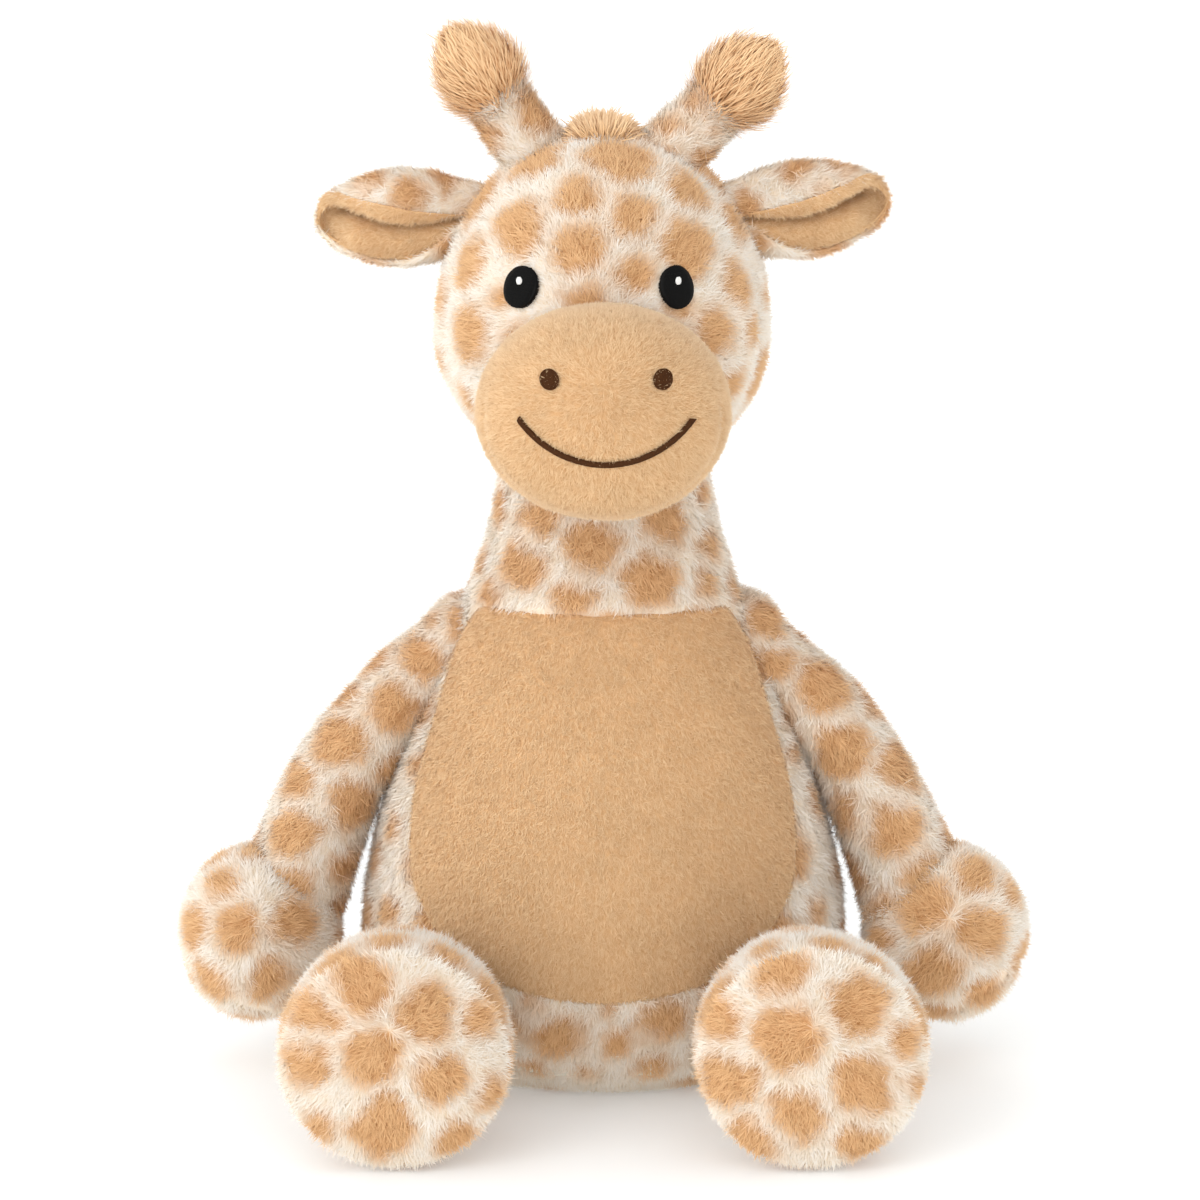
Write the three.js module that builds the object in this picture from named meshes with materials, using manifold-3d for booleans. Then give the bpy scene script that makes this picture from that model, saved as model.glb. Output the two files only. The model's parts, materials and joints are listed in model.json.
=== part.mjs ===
// Plush giraffe, sitting: a stuffed soft toy with a plain tummy panel and a zipped base.
// Millimetres, +Z up, the toy faces -Y and its own left is +X. The origin is the middle of the flat base.
import * as THREE from 'three';
import { mergeVertices } from 'three/addons/utils/BufferGeometryUtils.js';
import Module from 'manifold-3d';

const wasm = await Module();
wasm.setup();

// Fit and cloth
const seamGap = 0.35; // between two sewn pieces
const bendGap = 0.5; // between a limb and what it swings past
const overrun = 60; // how far a cutting prism runs past what it cuts
const blockSize = 600; // of a cutting half-space
const coverWall = 4; // plush with its backing
const panelCloth = 3; // short plush of the tummy and the soles
const stitchGap = 0.15; // under embroidery
const stitchHeight = 1; // embroidery above the cloth
const glintHeight = 0.8; // white stitches above the black ones
const weldGap = 1e-4; // points closer than this are one

// Body with its neck, a pear with a flat base
const bodyHeight = 232;
const hipHalfWidth = 90;
const bellyDepth = 74;
const backDepth = 66;

// Head, an egg that sits over the top of the neck
const headHalfWidth = 60;
const headFrontDepth = 58;
const headBackDepth = 57;
const headHeight = 125;
const headOverNeck = 17;

// Muzzle
const muzzleHalfWidth = 43;
const muzzleHalfHeight = 36;
const muzzleReach = 48; // in front of the head
const muzzleRoot = 30; // buried in the head
const muzzleRise = 34; // of its middle above the bottom of the head
const muzzleDroop = 3;

// Face stitching
const eyeHalfWidth = 5.6;
const eyeHalfHeight = 7.3;
const eyeSpacing = 51.6;
const eyeRise = 72.2; // above the bottom of the head
const eyeLean = 18; // degrees, tops towards each other
const eyesLeft = -1.4; // of the pair, off the middle
const glintRadius = 1.3;
const glintLift = 1.9;
const nostrilRadius = 3;
const nostrilSpacing = 36.6;
const nostrilLift = 13.6; // above the middle of the muzzle
const snoutLeft = 1; // of the nostrils and the mouth, off the middle
const mouthHalfWidth = 28.4;
const mouthDip = 14.5;
const mouthDrop = 13.5; // of its middle below the middle of the muzzle
const mouthLine = 1.8;

// Ears
const earReach = 52.5;
const earHalfHeight = 15.5;
const earHalfDepth = 11;
const earShare = 0.74; // of the head's height, how high its seam lies
const earInset = 1.5; // of the hinge point inside the head's side
const earBackCloth = 2.6;
const earLiningCloth = 2;
const earRootRadius = 7;
const earRoll = 20; // degrees that the lining runs past the plush at the upper edge
const earWebShare = 0.9; // of the root, where it joins the ear
const earFlap = 16; // degrees each way
const leftEarTilt = 6; // degrees above level
const rightEarTilt = -2;

// Horns
const hornRadius = 13.5;
const hornTopRadius = 12.5;
const hornLength = 21;
const hornSpread = 25; // of its root from the middle
const hornBelowCrown = 9; // of its root
const hornTipRadius = 16.5;
const hornTipLength = 33;
const hornTipSink = 5; // of the tip over the stem
const leftHornTilt = 45; // degrees from upright
const rightHornTilt = 35;
const hornBend = 12; // degrees each way

// Mane and forelock
const maneWidth = 22;
const manePile = 5;
const maneHeadStart = 15; // above the bottom of the head
const maneBelowTop = 12; // of its upper end on the neck, below the neck's top
const maneNeckLength = 88;
const forelockReach = 26;
const forelockLow = 30; // below the crown

// Arms
const shoulderHalfSpan = 50;
const shoulderShare = 0.681; // of the body's height
const shoulderRadius = 15.5;
const wristHalfSpan = 110.6;
const wristHeight = 66.5;
const wristForward = 9;
const elbowBow = 9; // of the arm's middle, outward
const armRootHalfWidth = 14;
const wristHalfWidth = 21;
const armRootHalfDepth = 15;
const wristHalfDepth = 21;
const handHalfWidth = 30.5;
const handHalfDepth = 28;
const handHalfHeight = 33;
const handOut = 14; // of the hand's middle beyond the wrist
const handDrop = 18;
const handForward = 3;

// Legs
const hipHalfSpan = 50;
const hipForward = 52;
const hipRise = 31;
const hipRadius = 22.5;
const legRadius = 21;
const footHalfSpan = 69.5;
const footForward = 106; // of the foot's broadest ring
const footHalfWidth = 39.5;
const footHalfHeight = 39;
const footBack = 34;
const footFront = 22; // to the sole seam
const soleDome = 11;
const soleShare = 0.93; // sole seam against the foot's broadest ring
const floorGap = 0.3; // under the feet
const legUp = 22; // degrees
const legDown = 35;

// Tail
const tailRadius = 5;
const tailRise = 66;
const tailOut = 8; // of the hanging part behind the back
const tailDrop = 34;
const tuftRadius = 8.5;
const tuftLength = 24;
const tailRootRadius = 6;

// Zip in the base
const zipLength = 84;
const zipTapeWidth = 20;
const zipTapeThickness = 0.8;
const zipBehind = 31; // of the zip behind the origin
const zipCoilWidth = 5;
const zipCoilHeight = 1.5;
const zipToothPitch = 3;
const zipToothGap = 0.9;
const sliderLength = 11;
const sliderWidth = 9;
const sliderPlate = 0.5;
const sliderFloor = 0.25; // above the ground
const zipRun = 0.3; // running clearance of the slider

// Facets
const bodySides = 22;
const coreSides = 14;
const headSides = 20;
const muzzleSides = 18;
const limbSides = 16;
const ballSides = 18;
const hollowSides = 10;
const smallSides = 12;
const footSides = 20;

const curvePoints = 18;
const earStrips = 8;

const degree = Math.PI / 180;
const sideOf = { left: 1, right: -1 };
const vec = (x, y, z) => new THREE.Vector3(x, y, z);
const xAxis = vec(1, 0, 0);
const yAxis = vec(0, 1, 0);
const headBottom = bodyHeight - headOverNeck;
const crown = headBottom + headHeight;
const hornRise = headHeight - hornBelowCrown;
const earRise = earShare * headHeight;
const maneNeckTop = bodyHeight - maneBelowTop;
const maneNeckEnd = maneNeckTop - maneNeckLength;
const shoulderHeight = shoulderShare * bodyHeight;

// Outline tables, each a share of the size that it follows
const bodyHeightShares = [0, 0.03, 0.125, 0.224, 0.336, 0.453, 0.56, 0.66, 0.76, 0.85, 0.93, 1];
const bodyWidthShares = [0.7, 0.87, 0.985, 1, 0.955, 0.865, 0.765, 0.662, 0.535, 0.465, 0.425, 0.412];
const bodyFrontShares = [0.68, 0.85, 0.985, 1, 0.965, 0.875, 0.765, 0.655, 0.545, 0.482, 0.458, 0.45];
const bodyBackShares = [0.72, 0.88, 0.99, 1, 0.965, 0.885, 0.79, 0.69, 0.582, 0.52, 0.505, 0.5];
const headHeightShares = [0.03, 0.11, 0.22, 0.36, 0.5, 0.635, 0.76, 0.86, 0.94, 0.985];
const headWidthShares = [0.4, 0.71, 0.91, 1, 0.99, 0.93, 0.805, 0.645, 0.44, 0.22];
const muzzleLengthShares = [0, 0.22, 0.4, 0.56, 0.7, 0.82, 0.91, 0.97];
const muzzleSizeShares = [0.8, 0.92, 0.985, 1, 0.965, 0.86, 0.68, 0.42];
const footBackShares = [1, 0.76, 0.46, 0.16];
const footBackSizeShares = [0.56, 0.8, 0.945, 0.995];
const domeShares = [0.45, 0.8, 0.96];
const domeSizeShares = [0.8, 0.5, 0.22];
const ballShares = [-0.94, -0.72, -0.38, 0, 0.38, 0.72, 0.94];
const tipLengthShares = [0.03, 0.14, 0.32, 0.52, 0.72, 0.88, 0.97];
const tipSizeShares = [0.55, 0.8, 0.97, 1, 0.88, 0.6, 0.3];
const earLengthShares = [0.04, 0.2, 0.4, 0.6, 0.78, 0.91, 1];
const earHeightShares = [0.72, 0.92, 1, 0.96, 0.8, 0.56, 0.24];
const earDepthShares = [0.5, 0.72, 0.95, 1, 0.9, 0.66, 0.3];
const earTopAngles = [176, 172, 166, 156, 138, 106, 60]; // degrees from the back of the ear to its upper edge
const earLowAngles = [168, 138, 108, 95, 88, 80, 60];
const earRollShares = [0.15, 0.5, 1, 1, 1, 0.8, 0.4];
const panelHeightShares = [0.985, 0.89, 0.7, 0.58, 0.49, 0.385, 0.27, 0.18, 0.09, 0.045, 0.012];
const panelWidthShares = [0.65, 0.76, 0.87, 0.94, 0.98, 1, 0.985, 0.89, 0.71, 0.55, 0.29];
const tailOutShares = [0, 0.7, 1, 0.95];
const tailDropShares = [0, 0.16, 0.5, 1];
const tailDeepShares = [[0.5, 0.9], [0.5, 0.9], [1, 0], [1, 0]]; // of its radius, backward and upward
const panelLowShare = 0.17;
const panelTopShare = 0.742;
const panelWidthShare = 0.77;
const panelDipShare = 0.008; // of its height, how far its top edge dips in the middle
const stitchStartShare = 0.4; // of the head's depth, where the stitching's prisms start
const armLengthShares = [0, 0.14, 0.3, 0.48, 0.66, 0.84, 1, 1.12];
const handLeanShare = 0.06;
const legLengthShares = [0, 0.55, 1.1];
const ankleShare = 0.6;
const footRimShare = 0.45;
const stemShares = [0, 0.5, 1];
const tailSinkShare = 0.5;
const coilSpineShare = 0.4;

// A closed grid of rings with a point at each end, pushed out along its own normals by grow
function form(rings, sides, start, end, grow = 0) {
  const points = [start.x, start.y, start.z];
  for (const ring of rings) {
    for (let i = 0; i < sides; i++) {
      const angle = (2 * Math.PI * i) / sides;
      const deep = Math.sin(angle) >= 0 ? ring.deep : ring.back ?? ring.deep;
      const p = ring.at.clone().addScaledVector(ring.wide, Math.cos(angle));
      p.addScaledVector(deep, Math.sin(angle));
      points.push(p.x, p.y, p.z);
    }
  }
  points.push(end.x, end.y, end.z);
  const last = points.length / 3 - 1;
  const faces = [];
  const corner = (ring, i) => 1 + ring * sides + (i % sides);
  for (let i = 0; i < sides; i++) {
    faces.push(0, corner(0, i + 1), corner(0, i));
    for (let r = 0; r < rings.length - 1; r++) {
      faces.push(corner(r, i), corner(r, i + 1), corner(r + 1, i + 1));
      faces.push(corner(r, i), corner(r + 1, i + 1), corner(r + 1, i));
    }
    faces.push(last, corner(rings.length - 1, i), corner(rings.length - 1, i + 1));
  }
  return solidOf(points, faces, grow);
}

// A solid from points and triangles: turned to face outwards, then grown
function solidOf(points, faces, grow = 0) {
  const geometry = new THREE.BufferGeometry();
  geometry.setAttribute('position', new THREE.Float32BufferAttribute(points, 3));
  geometry.setIndex(faces);
  return manifold(geometry, grow);
}

function manifold(source, grow = 0) {
  source.deleteAttribute('normal');
  source.deleteAttribute('uv');
  const geometry = mergeVertices(source, weldGap);
  const place = geometry.attributes.position;
  const index = geometry.index.array;
  const corner = (i) => vec(place.getX(index[i]), place.getY(index[i]), place.getZ(index[i]));
  let volume = 0;
  for (let i = 0; i < index.length; i += 3) {
    volume += corner(i).dot(corner(i + 1).cross(corner(i + 2)));
  }
  if (volume < 0) {
    for (let i = 0; i < index.length; i += 3) [index[i], index[i + 1]] = [index[i + 1], index[i]];
  }
  if (grow !== 0) {
    geometry.computeVertexNormals();
    const normal = geometry.attributes.normal;
    for (let i = 0; i < place.count; i++) {
      const p = vec(normal.getX(i), normal.getY(i), normal.getZ(i)).multiplyScalar(grow);
      place.setXYZ(i, place.getX(i) + p.x, place.getY(i) + p.y, place.getZ(i) + p.z);
    }
  }
  return new wasm.Manifold(new wasm.Mesh({
    numProp: 3,
    vertProperties: new Float32Array(place.array),
    triVerts: new Uint32Array(index),
  }));
}

// A ball whose poles lie on the hinge that it turns about, so that it turns in a socket with the same facets
function ball(centre, radius, axis = yAxis, sides = ballSides) {
  const geometry = new THREE.SphereGeometry(radius, sides, Math.round(sides / 2));
  geometry.applyQuaternion(new THREE.Quaternion().setFromUnitVectors(yAxis, axis));
  return manifold(geometry.translate(centre.x, centre.y, centre.z));
}

const socket = (centre, radius, axis, sides = ballSides) =>
  ball(centre, (radius + seamGap) / Math.cos(Math.PI / sides), axis, sides);

const box = (low, high) => manifold(new THREE.BoxGeometry(high.x - low.x, high.y - low.y, high.z - low.z)
  .translate((low.x + high.x) / 2, (low.y + high.y) / 2, (low.z + high.z) / 2));

// A flat outline in X and Z, run along Y from one place to another
function prism(shape, fromY, toY) {
  const geometry = new THREE.ExtrudeGeometry(shape, { depth: fromY - toY, bevelEnabled: false });
  return manifold(geometry.rotateX(Math.PI / 2).translate(0, fromY, 0));
}

function oval(x, z, halfWidth, halfHeight, lean = 0) {
  const curve = new THREE.EllipseCurve(x, z, halfWidth, halfHeight, 0, 2 * Math.PI, false, lean * degree);
  return new THREE.Shape(curve.getPoints(curvePoints));
}

const turned = (solid, pivot, axis, angle) => {
  const matrix = new THREE.Matrix4().makeTranslation(pivot.x, pivot.y, pivot.z)
    .multiply(new THREE.Matrix4().makeRotationAxis(axis, angle * degree))
    .multiply(new THREE.Matrix4().makeTranslation(-pivot.x, -pivot.y, -pivot.z));
  return solid.transform(matrix.elements);
};

// What of a swinging piece stays in front of a bulging surface, given by its tangent plane, at each angle
function inFrontOf(piece, face, pivot, axis, angles) {
  const block = manifold(new THREE.BoxGeometry(blockSize, blockSize, blockSize)
    .translate(0, -blockSize / 2, 0)
    .applyQuaternion(new THREE.Quaternion().setFromUnitVectors(yAxis, face.normal))
    .translate(face.at.x, face.at.y, face.at.z));
  return largest(angles.reduce((left, angle) => left.subtract(turned(block, pivot, axis, -angle)), piece));
}

// The main lump of a solid, without slivers that a cut left behind
function largest(solid) {
  const lumps = solid.decompose().sort((a, b) => b.volume() - a.volume());
  return lumps[0];
}

const group = new THREE.Group();

function add(name, solid, look) {
  const mesh = solid.getMesh();
  const geometry = new THREE.BufferGeometry();
  geometry.setAttribute('position', new THREE.Float32BufferAttribute(mesh.vertProperties, 3));
  geometry.setIndex([...mesh.triVerts]);
  geometry.computeVertexNormals();
  const piece = new THREE.Mesh(geometry, new THREE.MeshStandardMaterial(look));
  piece.name = name;
  group.add(piece);
}

const spottedPlush = { color: 0xecd8bd, roughness: 0.95, metalness: 0 };
const tanPlush = { color: 0xd9ae7c, roughness: 0.9, metalness: 0 };
const longPile = { color: 0xd2a877, roughness: 0.95, metalness: 0 };
const blackThread = { color: 0x0c0c0e, roughness: 0.5, metalness: 0 };
const whiteThread = { color: 0xf4f4f4, roughness: 0.5, metalness: 0 };
const brownThread = { color: 0x4a2a14, roughness: 0.5, metalness: 0 };
const lining = { color: 0xf0ece4, roughness: 0.9, metalness: 0 };
const zipCloth = { color: 0xd8c3a2, roughness: 0.8, metalness: 0 };
const zipNylon = { color: 0xcbb28c, roughness: 0.5, metalness: 0 };

// Body with its neck
function bodyForm(grow = 0, sides = bodySides) {
  const rings = bodyHeightShares.map((share, i) => ({
    at: vec(0, 0, share * bodyHeight),
    wide: vec(bodyWidthShares[i] * hipHalfWidth, 0, 0),
    deep: vec(0, bodyBackShares[i] * backDepth, 0),
    back: vec(0, bodyFrontShares[i] * bellyDepth, 0),
  }));
  return form(rings, sides, vec(0, 0, 0), vec(0, 0, bodyHeight), grow);
}

function headForm(grow = 0, halfWidth = headHalfWidth, back = headBackDepth, front = headFrontDepth) {
  const rings = headHeightShares.map((share, i) => ({
    at: vec(0, 0, headBottom + share * headHeight),
    wide: vec(headWidthShares[i] * halfWidth, 0, 0),
    deep: vec(0, headWidthShares[i] * back, 0),
    back: vec(0, headWidthShares[i] * front, 0),
  }));
  return form(rings, headSides, vec(0, 0, headBottom), vec(0, 0, crown), grow);
}

// Everything that the head passes through as it turns
function headSweep(grow) {
  const radius = headHalfWidth / Math.cos(Math.PI / headSides);
  return headForm(grow, radius, radius, radius);
}

const muzzleMiddle = headBottom + muzzleRise;
const muzzleFront = headFrontDepth + muzzleReach;
const muzzleLength = muzzleReach + muzzleRoot;
function muzzleForm(grow = 0) {
  const at = (share) =>
    vec(0, -(muzzleFront - muzzleLength * (1 - share)), muzzleMiddle - muzzleDroop * share);
  const rings = muzzleLengthShares.map((share, i) => ({
    at: at(share),
    wide: vec(muzzleSizeShares[i] * muzzleHalfWidth, 0, 0),
    deep: vec(0, 0, muzzleSizeShares[i] * muzzleHalfHeight),
  }));
  return form(rings, muzzleSides, at(0), at(1), grow);
}

// The side of the head at a height: a point out of it by a gap, and the way it faces
function headFace(side, rise, gap) {
  const share = rise / headHeight;
  const i = headHeightShares.findIndex((s) => s > share);
  const low = new THREE.Vector2(headWidthShares[i - 1] * headHalfWidth, headHeightShares[i - 1] * headHeight);
  const high = new THREE.Vector2(headWidthShares[i] * headHalfWidth, headHeightShares[i] * headHeight);
  const x = THREE.MathUtils.mapLinear(rise, low.y, high.y, low.x, high.x) + gap;
  const normal = vec(sideOf[side] * (high.y - low.y), 0, low.x - high.x).normalize();
  return { at: vec(sideOf[side] * x, 0, headBottom + rise), normal };
}

// Where the limbs turn
const shoulder = (side) => vec(sideOf[side] * shoulderHalfSpan, 0, shoulderHeight);
const hip = (side) => vec(sideOf[side] * hipHalfSpan, -hipForward, hipRise);
const earRoot = (side) => headFace(side, earRise, -earInset).at;
const hornRoot = (side) => vec(sideOf[side] * hornSpread, 0, headBottom + hornRise);
const hornFace = (side) => headFace(side, hornRise, bendGap);
const tailRoot = vec(0, backDepth - tailRootRadius * tailSinkShare, tailRise);

// Tummy panel, let into the front of the body
const panelLow = panelLowShare * bodyHeight;
const panelTop = panelTopShare * bodyHeight;
const panelHalfWidth = panelWidthShare * hipHalfWidth;
function panelShape(margin) {
  const width = (i) => panelWidthShares[i] * panelHalfWidth + margin;
  const height = (i) => panelLow + panelHeightShares[i] * (panelTop - panelLow);
  const top = panelTop + margin;
  const right = panelHeightShares.map((share, i) => new THREE.Vector2(width(i), height(i)));
  const left = right.map((p) => new THREE.Vector2(-p.x, p.y)).reverse();
  const crest = new THREE.Vector2(width(0), top);
  const mid = new THREE.Vector2(0, top - panelDipShare * (panelTop - panelLow));
  const low = new THREE.Vector2(0, panelLow - margin);
  return new THREE.Shape([mid, crest, ...right, low, ...left, new THREE.Vector2(-crest.x, top)]);
}

// Every limb root with its radius and hinge
const roots = [
  [shoulder('left'), shoulderRadius, yAxis],
  [shoulder('right'), shoulderRadius, yAxis],
  [hip('left'), hipRadius, xAxis],
  [hip('right'), hipRadius, xAxis],
  [tailRoot, tailRootRadius, yAxis, smallSides],
];

// The room inside the body, clear of the limb roots and of the bowl under the head
function bodyRoom(wall) {
  const room = bodyForm(-wall, coreSides).subtract(headSweep(wall));
  const around = ([at, radius, axis]) => ball(at, radius + wall, axis, hollowSides);
  return largest(roots.reduce((left, root) => left.subtract(around(root)), room));
}

const zipSlot = (top) => box(
  vec(-zipLength / 2, zipBehind - zipTapeWidth / 2, -overrun),
  vec(zipLength / 2, zipBehind + zipTapeWidth / 2, top));

function makeBody() {
  const outer = roots.reduce((left, root) => left.subtract(socket(...root)),
    bodyForm().subtract(headSweep(seamGap)));
  const far = -(bellyDepth + overrun);
  const recess = prism(panelShape(seamGap), 0, far).subtract(bodyForm(-panelCloth - seamGap));
  const cover = outer.subtract(recess).subtract(bodyRoom(coverWall)).subtract(zipSlot(coverWall + seamGap));
  add('body_cover', largest(cover), spottedPlush);
  const bag = bodyRoom(coverWall + seamGap).subtract(zipSlot(coverWall + 2 * seamGap));
  add('stuffing_bag', largest(bag), lining);
  const panel = outer.intersect(prism(panelShape(0), 0, far)).subtract(bodyForm(-panelCloth));
  add('tummy_panel', largest(panel), tanPlush);
}

// Long pile standing on a form
function makeMane() {
  const half = maneWidth / 2;
  const back = backDepth + overrun;
  const strip = (low, high) => box(vec(-half, 0, low), vec(half, back, high));
  const onHead = strip(headBottom + maneHeadStart, crown + overrun)
    .intersect(headForm(manePile)).subtract(headForm(stitchGap));
  const onNeck = strip(maneNeckEnd, maneNeckTop).intersect(bodyForm(manePile)).subtract(bodyForm(stitchGap));
  add('mane_head', largest(onHead), longPile);
  add('mane_neck', largest(onNeck), longPile);
  const lock = box(vec(-half, -forelockReach, crown - forelockLow), vec(half, -seamGap, crown + overrun));
  add('forelock', largest(lock.intersect(headForm(manePile)).subtract(headForm(stitchGap))), longPile);
}

function makeHead() {
  let head = headForm();
  for (const side of ['left', 'right']) {
    head = head.subtract(socket(earRoot(side), earRootRadius, yAxis, smallSides))
      .subtract(socket(hornRoot(side), hornRadius, yAxis, limbSides));
  }
  add('head', largest(head), spottedPlush);
  const neckRadius = bodyWidthShares.at(-3) * hipHalfWidth + bendGap;
  const column = [bodyHeight - overrun, bodyHeight + bendGap].map((z) => ({
    at: vec(0, 0, z), wide: vec(neckRadius, 0, 0), deep: vec(0, neckRadius, 0),
  }));
  const neck = form(column, headSides, column[0].at, column[1].at);
  add('muzzle', largest(muzzleForm().subtract(headForm(seamGap)).subtract(neck)), tanPlush);
}

// Embroidery: a flat outline carried onto a form
function stitched(shape, surface, low, high) {
  const band = prism(shape, -headFrontDepth * stitchStartShare, -(muzzleFront + overrun));
  return largest(band.intersect(surface(high)).subtract(surface(low)));
}

function smile() {
  const radius = (mouthHalfWidth ** 2 + mouthDip ** 2) / (2 * mouthDip);
  const centre = muzzleMiddle - mouthDrop + radius;
  const reach = Math.asin(mouthHalfWidth / radius);
  const arc = (r, from, to, clockwise) =>
    new THREE.EllipseCurve(snoutLeft, centre, r, r, from, to, clockwise).getPoints(curvePoints);
  const low = -Math.PI / 2 - reach;
  const high = -Math.PI / 2 + reach;
  const outside = arc(radius + mouthLine / 2, low, high, false);
  return new THREE.Shape([...outside, ...arc(radius - mouthLine / 2, high, low, true)]);
}

function makeFace() {
  const eyeHeight = headBottom + eyeRise;
  const top = stitchGap + stitchHeight;
  for (const side of ['left', 'right']) {
    const x = eyesLeft + (sideOf[side] * eyeSpacing) / 2;
    const eye = oval(x, eyeHeight, eyeHalfWidth, eyeHalfHeight, sideOf[side] * eyeLean);
    add(`${side}_eye`, stitched(eye, headForm, stitchGap, top), blackThread);
    const glint = oval(x, eyeHeight + glintLift, glintRadius, glintRadius);
    const rest = top + stitchGap;
    add(`${side}_eye_glint`, stitched(glint, headForm, rest, rest + glintHeight), whiteThread);
    const nostrilX = snoutLeft + (sideOf[side] * nostrilSpacing) / 2;
    const nostril = oval(nostrilX, muzzleMiddle + nostrilLift, nostrilRadius, nostrilRadius);
    add(`${side}_nostril`, stitched(nostril, muzzleForm, stitchGap, top), brownThread);
  }
  add('mouth_stitch', stitched(smile(), muzzleForm, stitchGap, top), brownThread);
}

// A cupped ear sheet: arcs that open to the front, between two depths of cloth
function earSheet(side, tilt, inner, outer, roll = 0) {
  const root = earRoot(side);
  const strips = roll > 0 ? earStrips + 1 : earStrips;
  const points = [];
  const place = (i, j, offset) => {
    const past = j > earStrips ? roll * earRollShares[i] : 0;
    const share = Math.min(j / earStrips, 1);
    const angle = (THREE.MathUtils.lerp(-earLowAngles[i], earTopAngles[i], share) + past) * degree;
    const high = earHeightShares[i] * earHalfHeight + offset;
    const deep = earDepthShares[i] * earHalfDepth + offset;
    const x = sideOf[side] * earLengthShares[i] * earReach;
    return vec(x, Math.cos(angle) * deep, Math.sin(angle) * high);
  };
  const rows = earLengthShares.length;
  for (const offset of [inner, outer]) {
    for (let i = 0; i < rows; i++) {
      for (let j = 0; j <= strips; j++) {
        const p = place(i, j, offset).applyAxisAngle(yAxis, -sideOf[side] * tilt * degree).add(root);
        points.push(p.x, p.y, p.z);
      }
    }
  }
  const sheet = rows * (strips + 1);
  const faces = [];
  const quad = (a, b, c, d) => faces.push(a, b, c, a, c, d);
  const at = (i, j, face) => face * sheet + i * (strips + 1) + j;
  for (let i = 0; i < rows - 1; i++) {
    for (let j = 0; j < strips; j++) {
      quad(at(i, j, 1), at(i + 1, j, 1), at(i + 1, j + 1, 1), at(i, j + 1, 1));
      quad(at(i, j, 0), at(i, j + 1, 0), at(i + 1, j + 1, 0), at(i + 1, j, 0));
    }
    quad(at(i, 0, 0), at(i + 1, 0, 0), at(i + 1, 0, 1), at(i, 0, 1));
    quad(at(i, strips, 0), at(i, strips, 1), at(i + 1, strips, 1), at(i + 1, strips, 0));
  }
  for (let j = 0; j < strips; j++) {
    quad(at(0, j, 0), at(0, j, 1), at(0, j + 1, 1), at(0, j + 1, 0));
    quad(at(rows - 1, j, 0), at(rows - 1, j + 1, 0), at(rows - 1, j + 1, 1), at(rows - 1, j, 1));
  }
  return solidOf(points, faces);
}

function makeEar(side, tilt) {
  const root = earRoot(side);
  const face = headFace(side, earRise, bendGap);
  const clear = (piece) => inFrontOf(piece, face, root, yAxis, [-earFlap, earFlap]);
  const webAt = root.clone().add(vec(sideOf[side] * earRootRadius, 0, 0));
  const knot = (grow) => ball(root, earRootRadius + grow, yAxis, smallSides);
  const web = (grow) => ball(webAt, earRootRadius * earWebShare + grow, yAxis, smallSides);
  const shell = clear(earSheet(side, tilt, 0, earBackCloth).add(web(0)));
  add(`${side}_ear_back`, shell.add(knot(0)), spottedPlush);
  const liner = earSheet(side, tilt, -earLiningCloth - seamGap, -seamGap, earRoll)
    .subtract(knot(seamGap).add(web(seamGap)));
  add(`${side}_ear_lining`, clear(liner), tanPlush);
}

function makeHorn(side, tilt) {
  const root = hornRoot(side);
  const along = vec(0, 0, 1).applyAxisAngle(yAxis, sideOf[side] * tilt * degree);
  const wide = vec(1, 0, 0).applyAxisAngle(yAxis, sideOf[side] * tilt * degree);
  const at = (distance) => root.clone().addScaledVector(along, distance);
  const ring = (distance, radius) => ({
    at: at(distance), wide: wide.clone().multiplyScalar(radius), deep: vec(0, radius, 0),
  });
  const taper = (share) => THREE.MathUtils.lerp(hornRadius - stitchGap, hornTopRadius, share);
  const stemRings = stemShares.map((share) => ring(share * hornLength, taper(share)));
  const tipForm = (grow) => {
    const base = hornLength - hornTipSink;
    const rings = tipLengthShares.map((share, i) =>
      ring(base + share * hornTipLength, tipSizeShares[i] * hornTipRadius));
    return form(rings, limbSides, at(base), at(base + hornTipLength), grow);
  };
  const stem = form(stemRings, limbSides, at(0), at(hornLength)).subtract(tipForm(seamGap));
  const outside = inFrontOf(stem, hornFace(side), root, yAxis, [-hornBend, hornBend]);
  const rootBall = ball(root, hornRadius, yAxis, limbSides).subtract(tipForm(seamGap));
  add(`${side}_horn_stem`, outside.add(rootBall), spottedPlush);
  add(`${side}_horn_tip`, tipForm(0), longPile);
}

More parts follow.
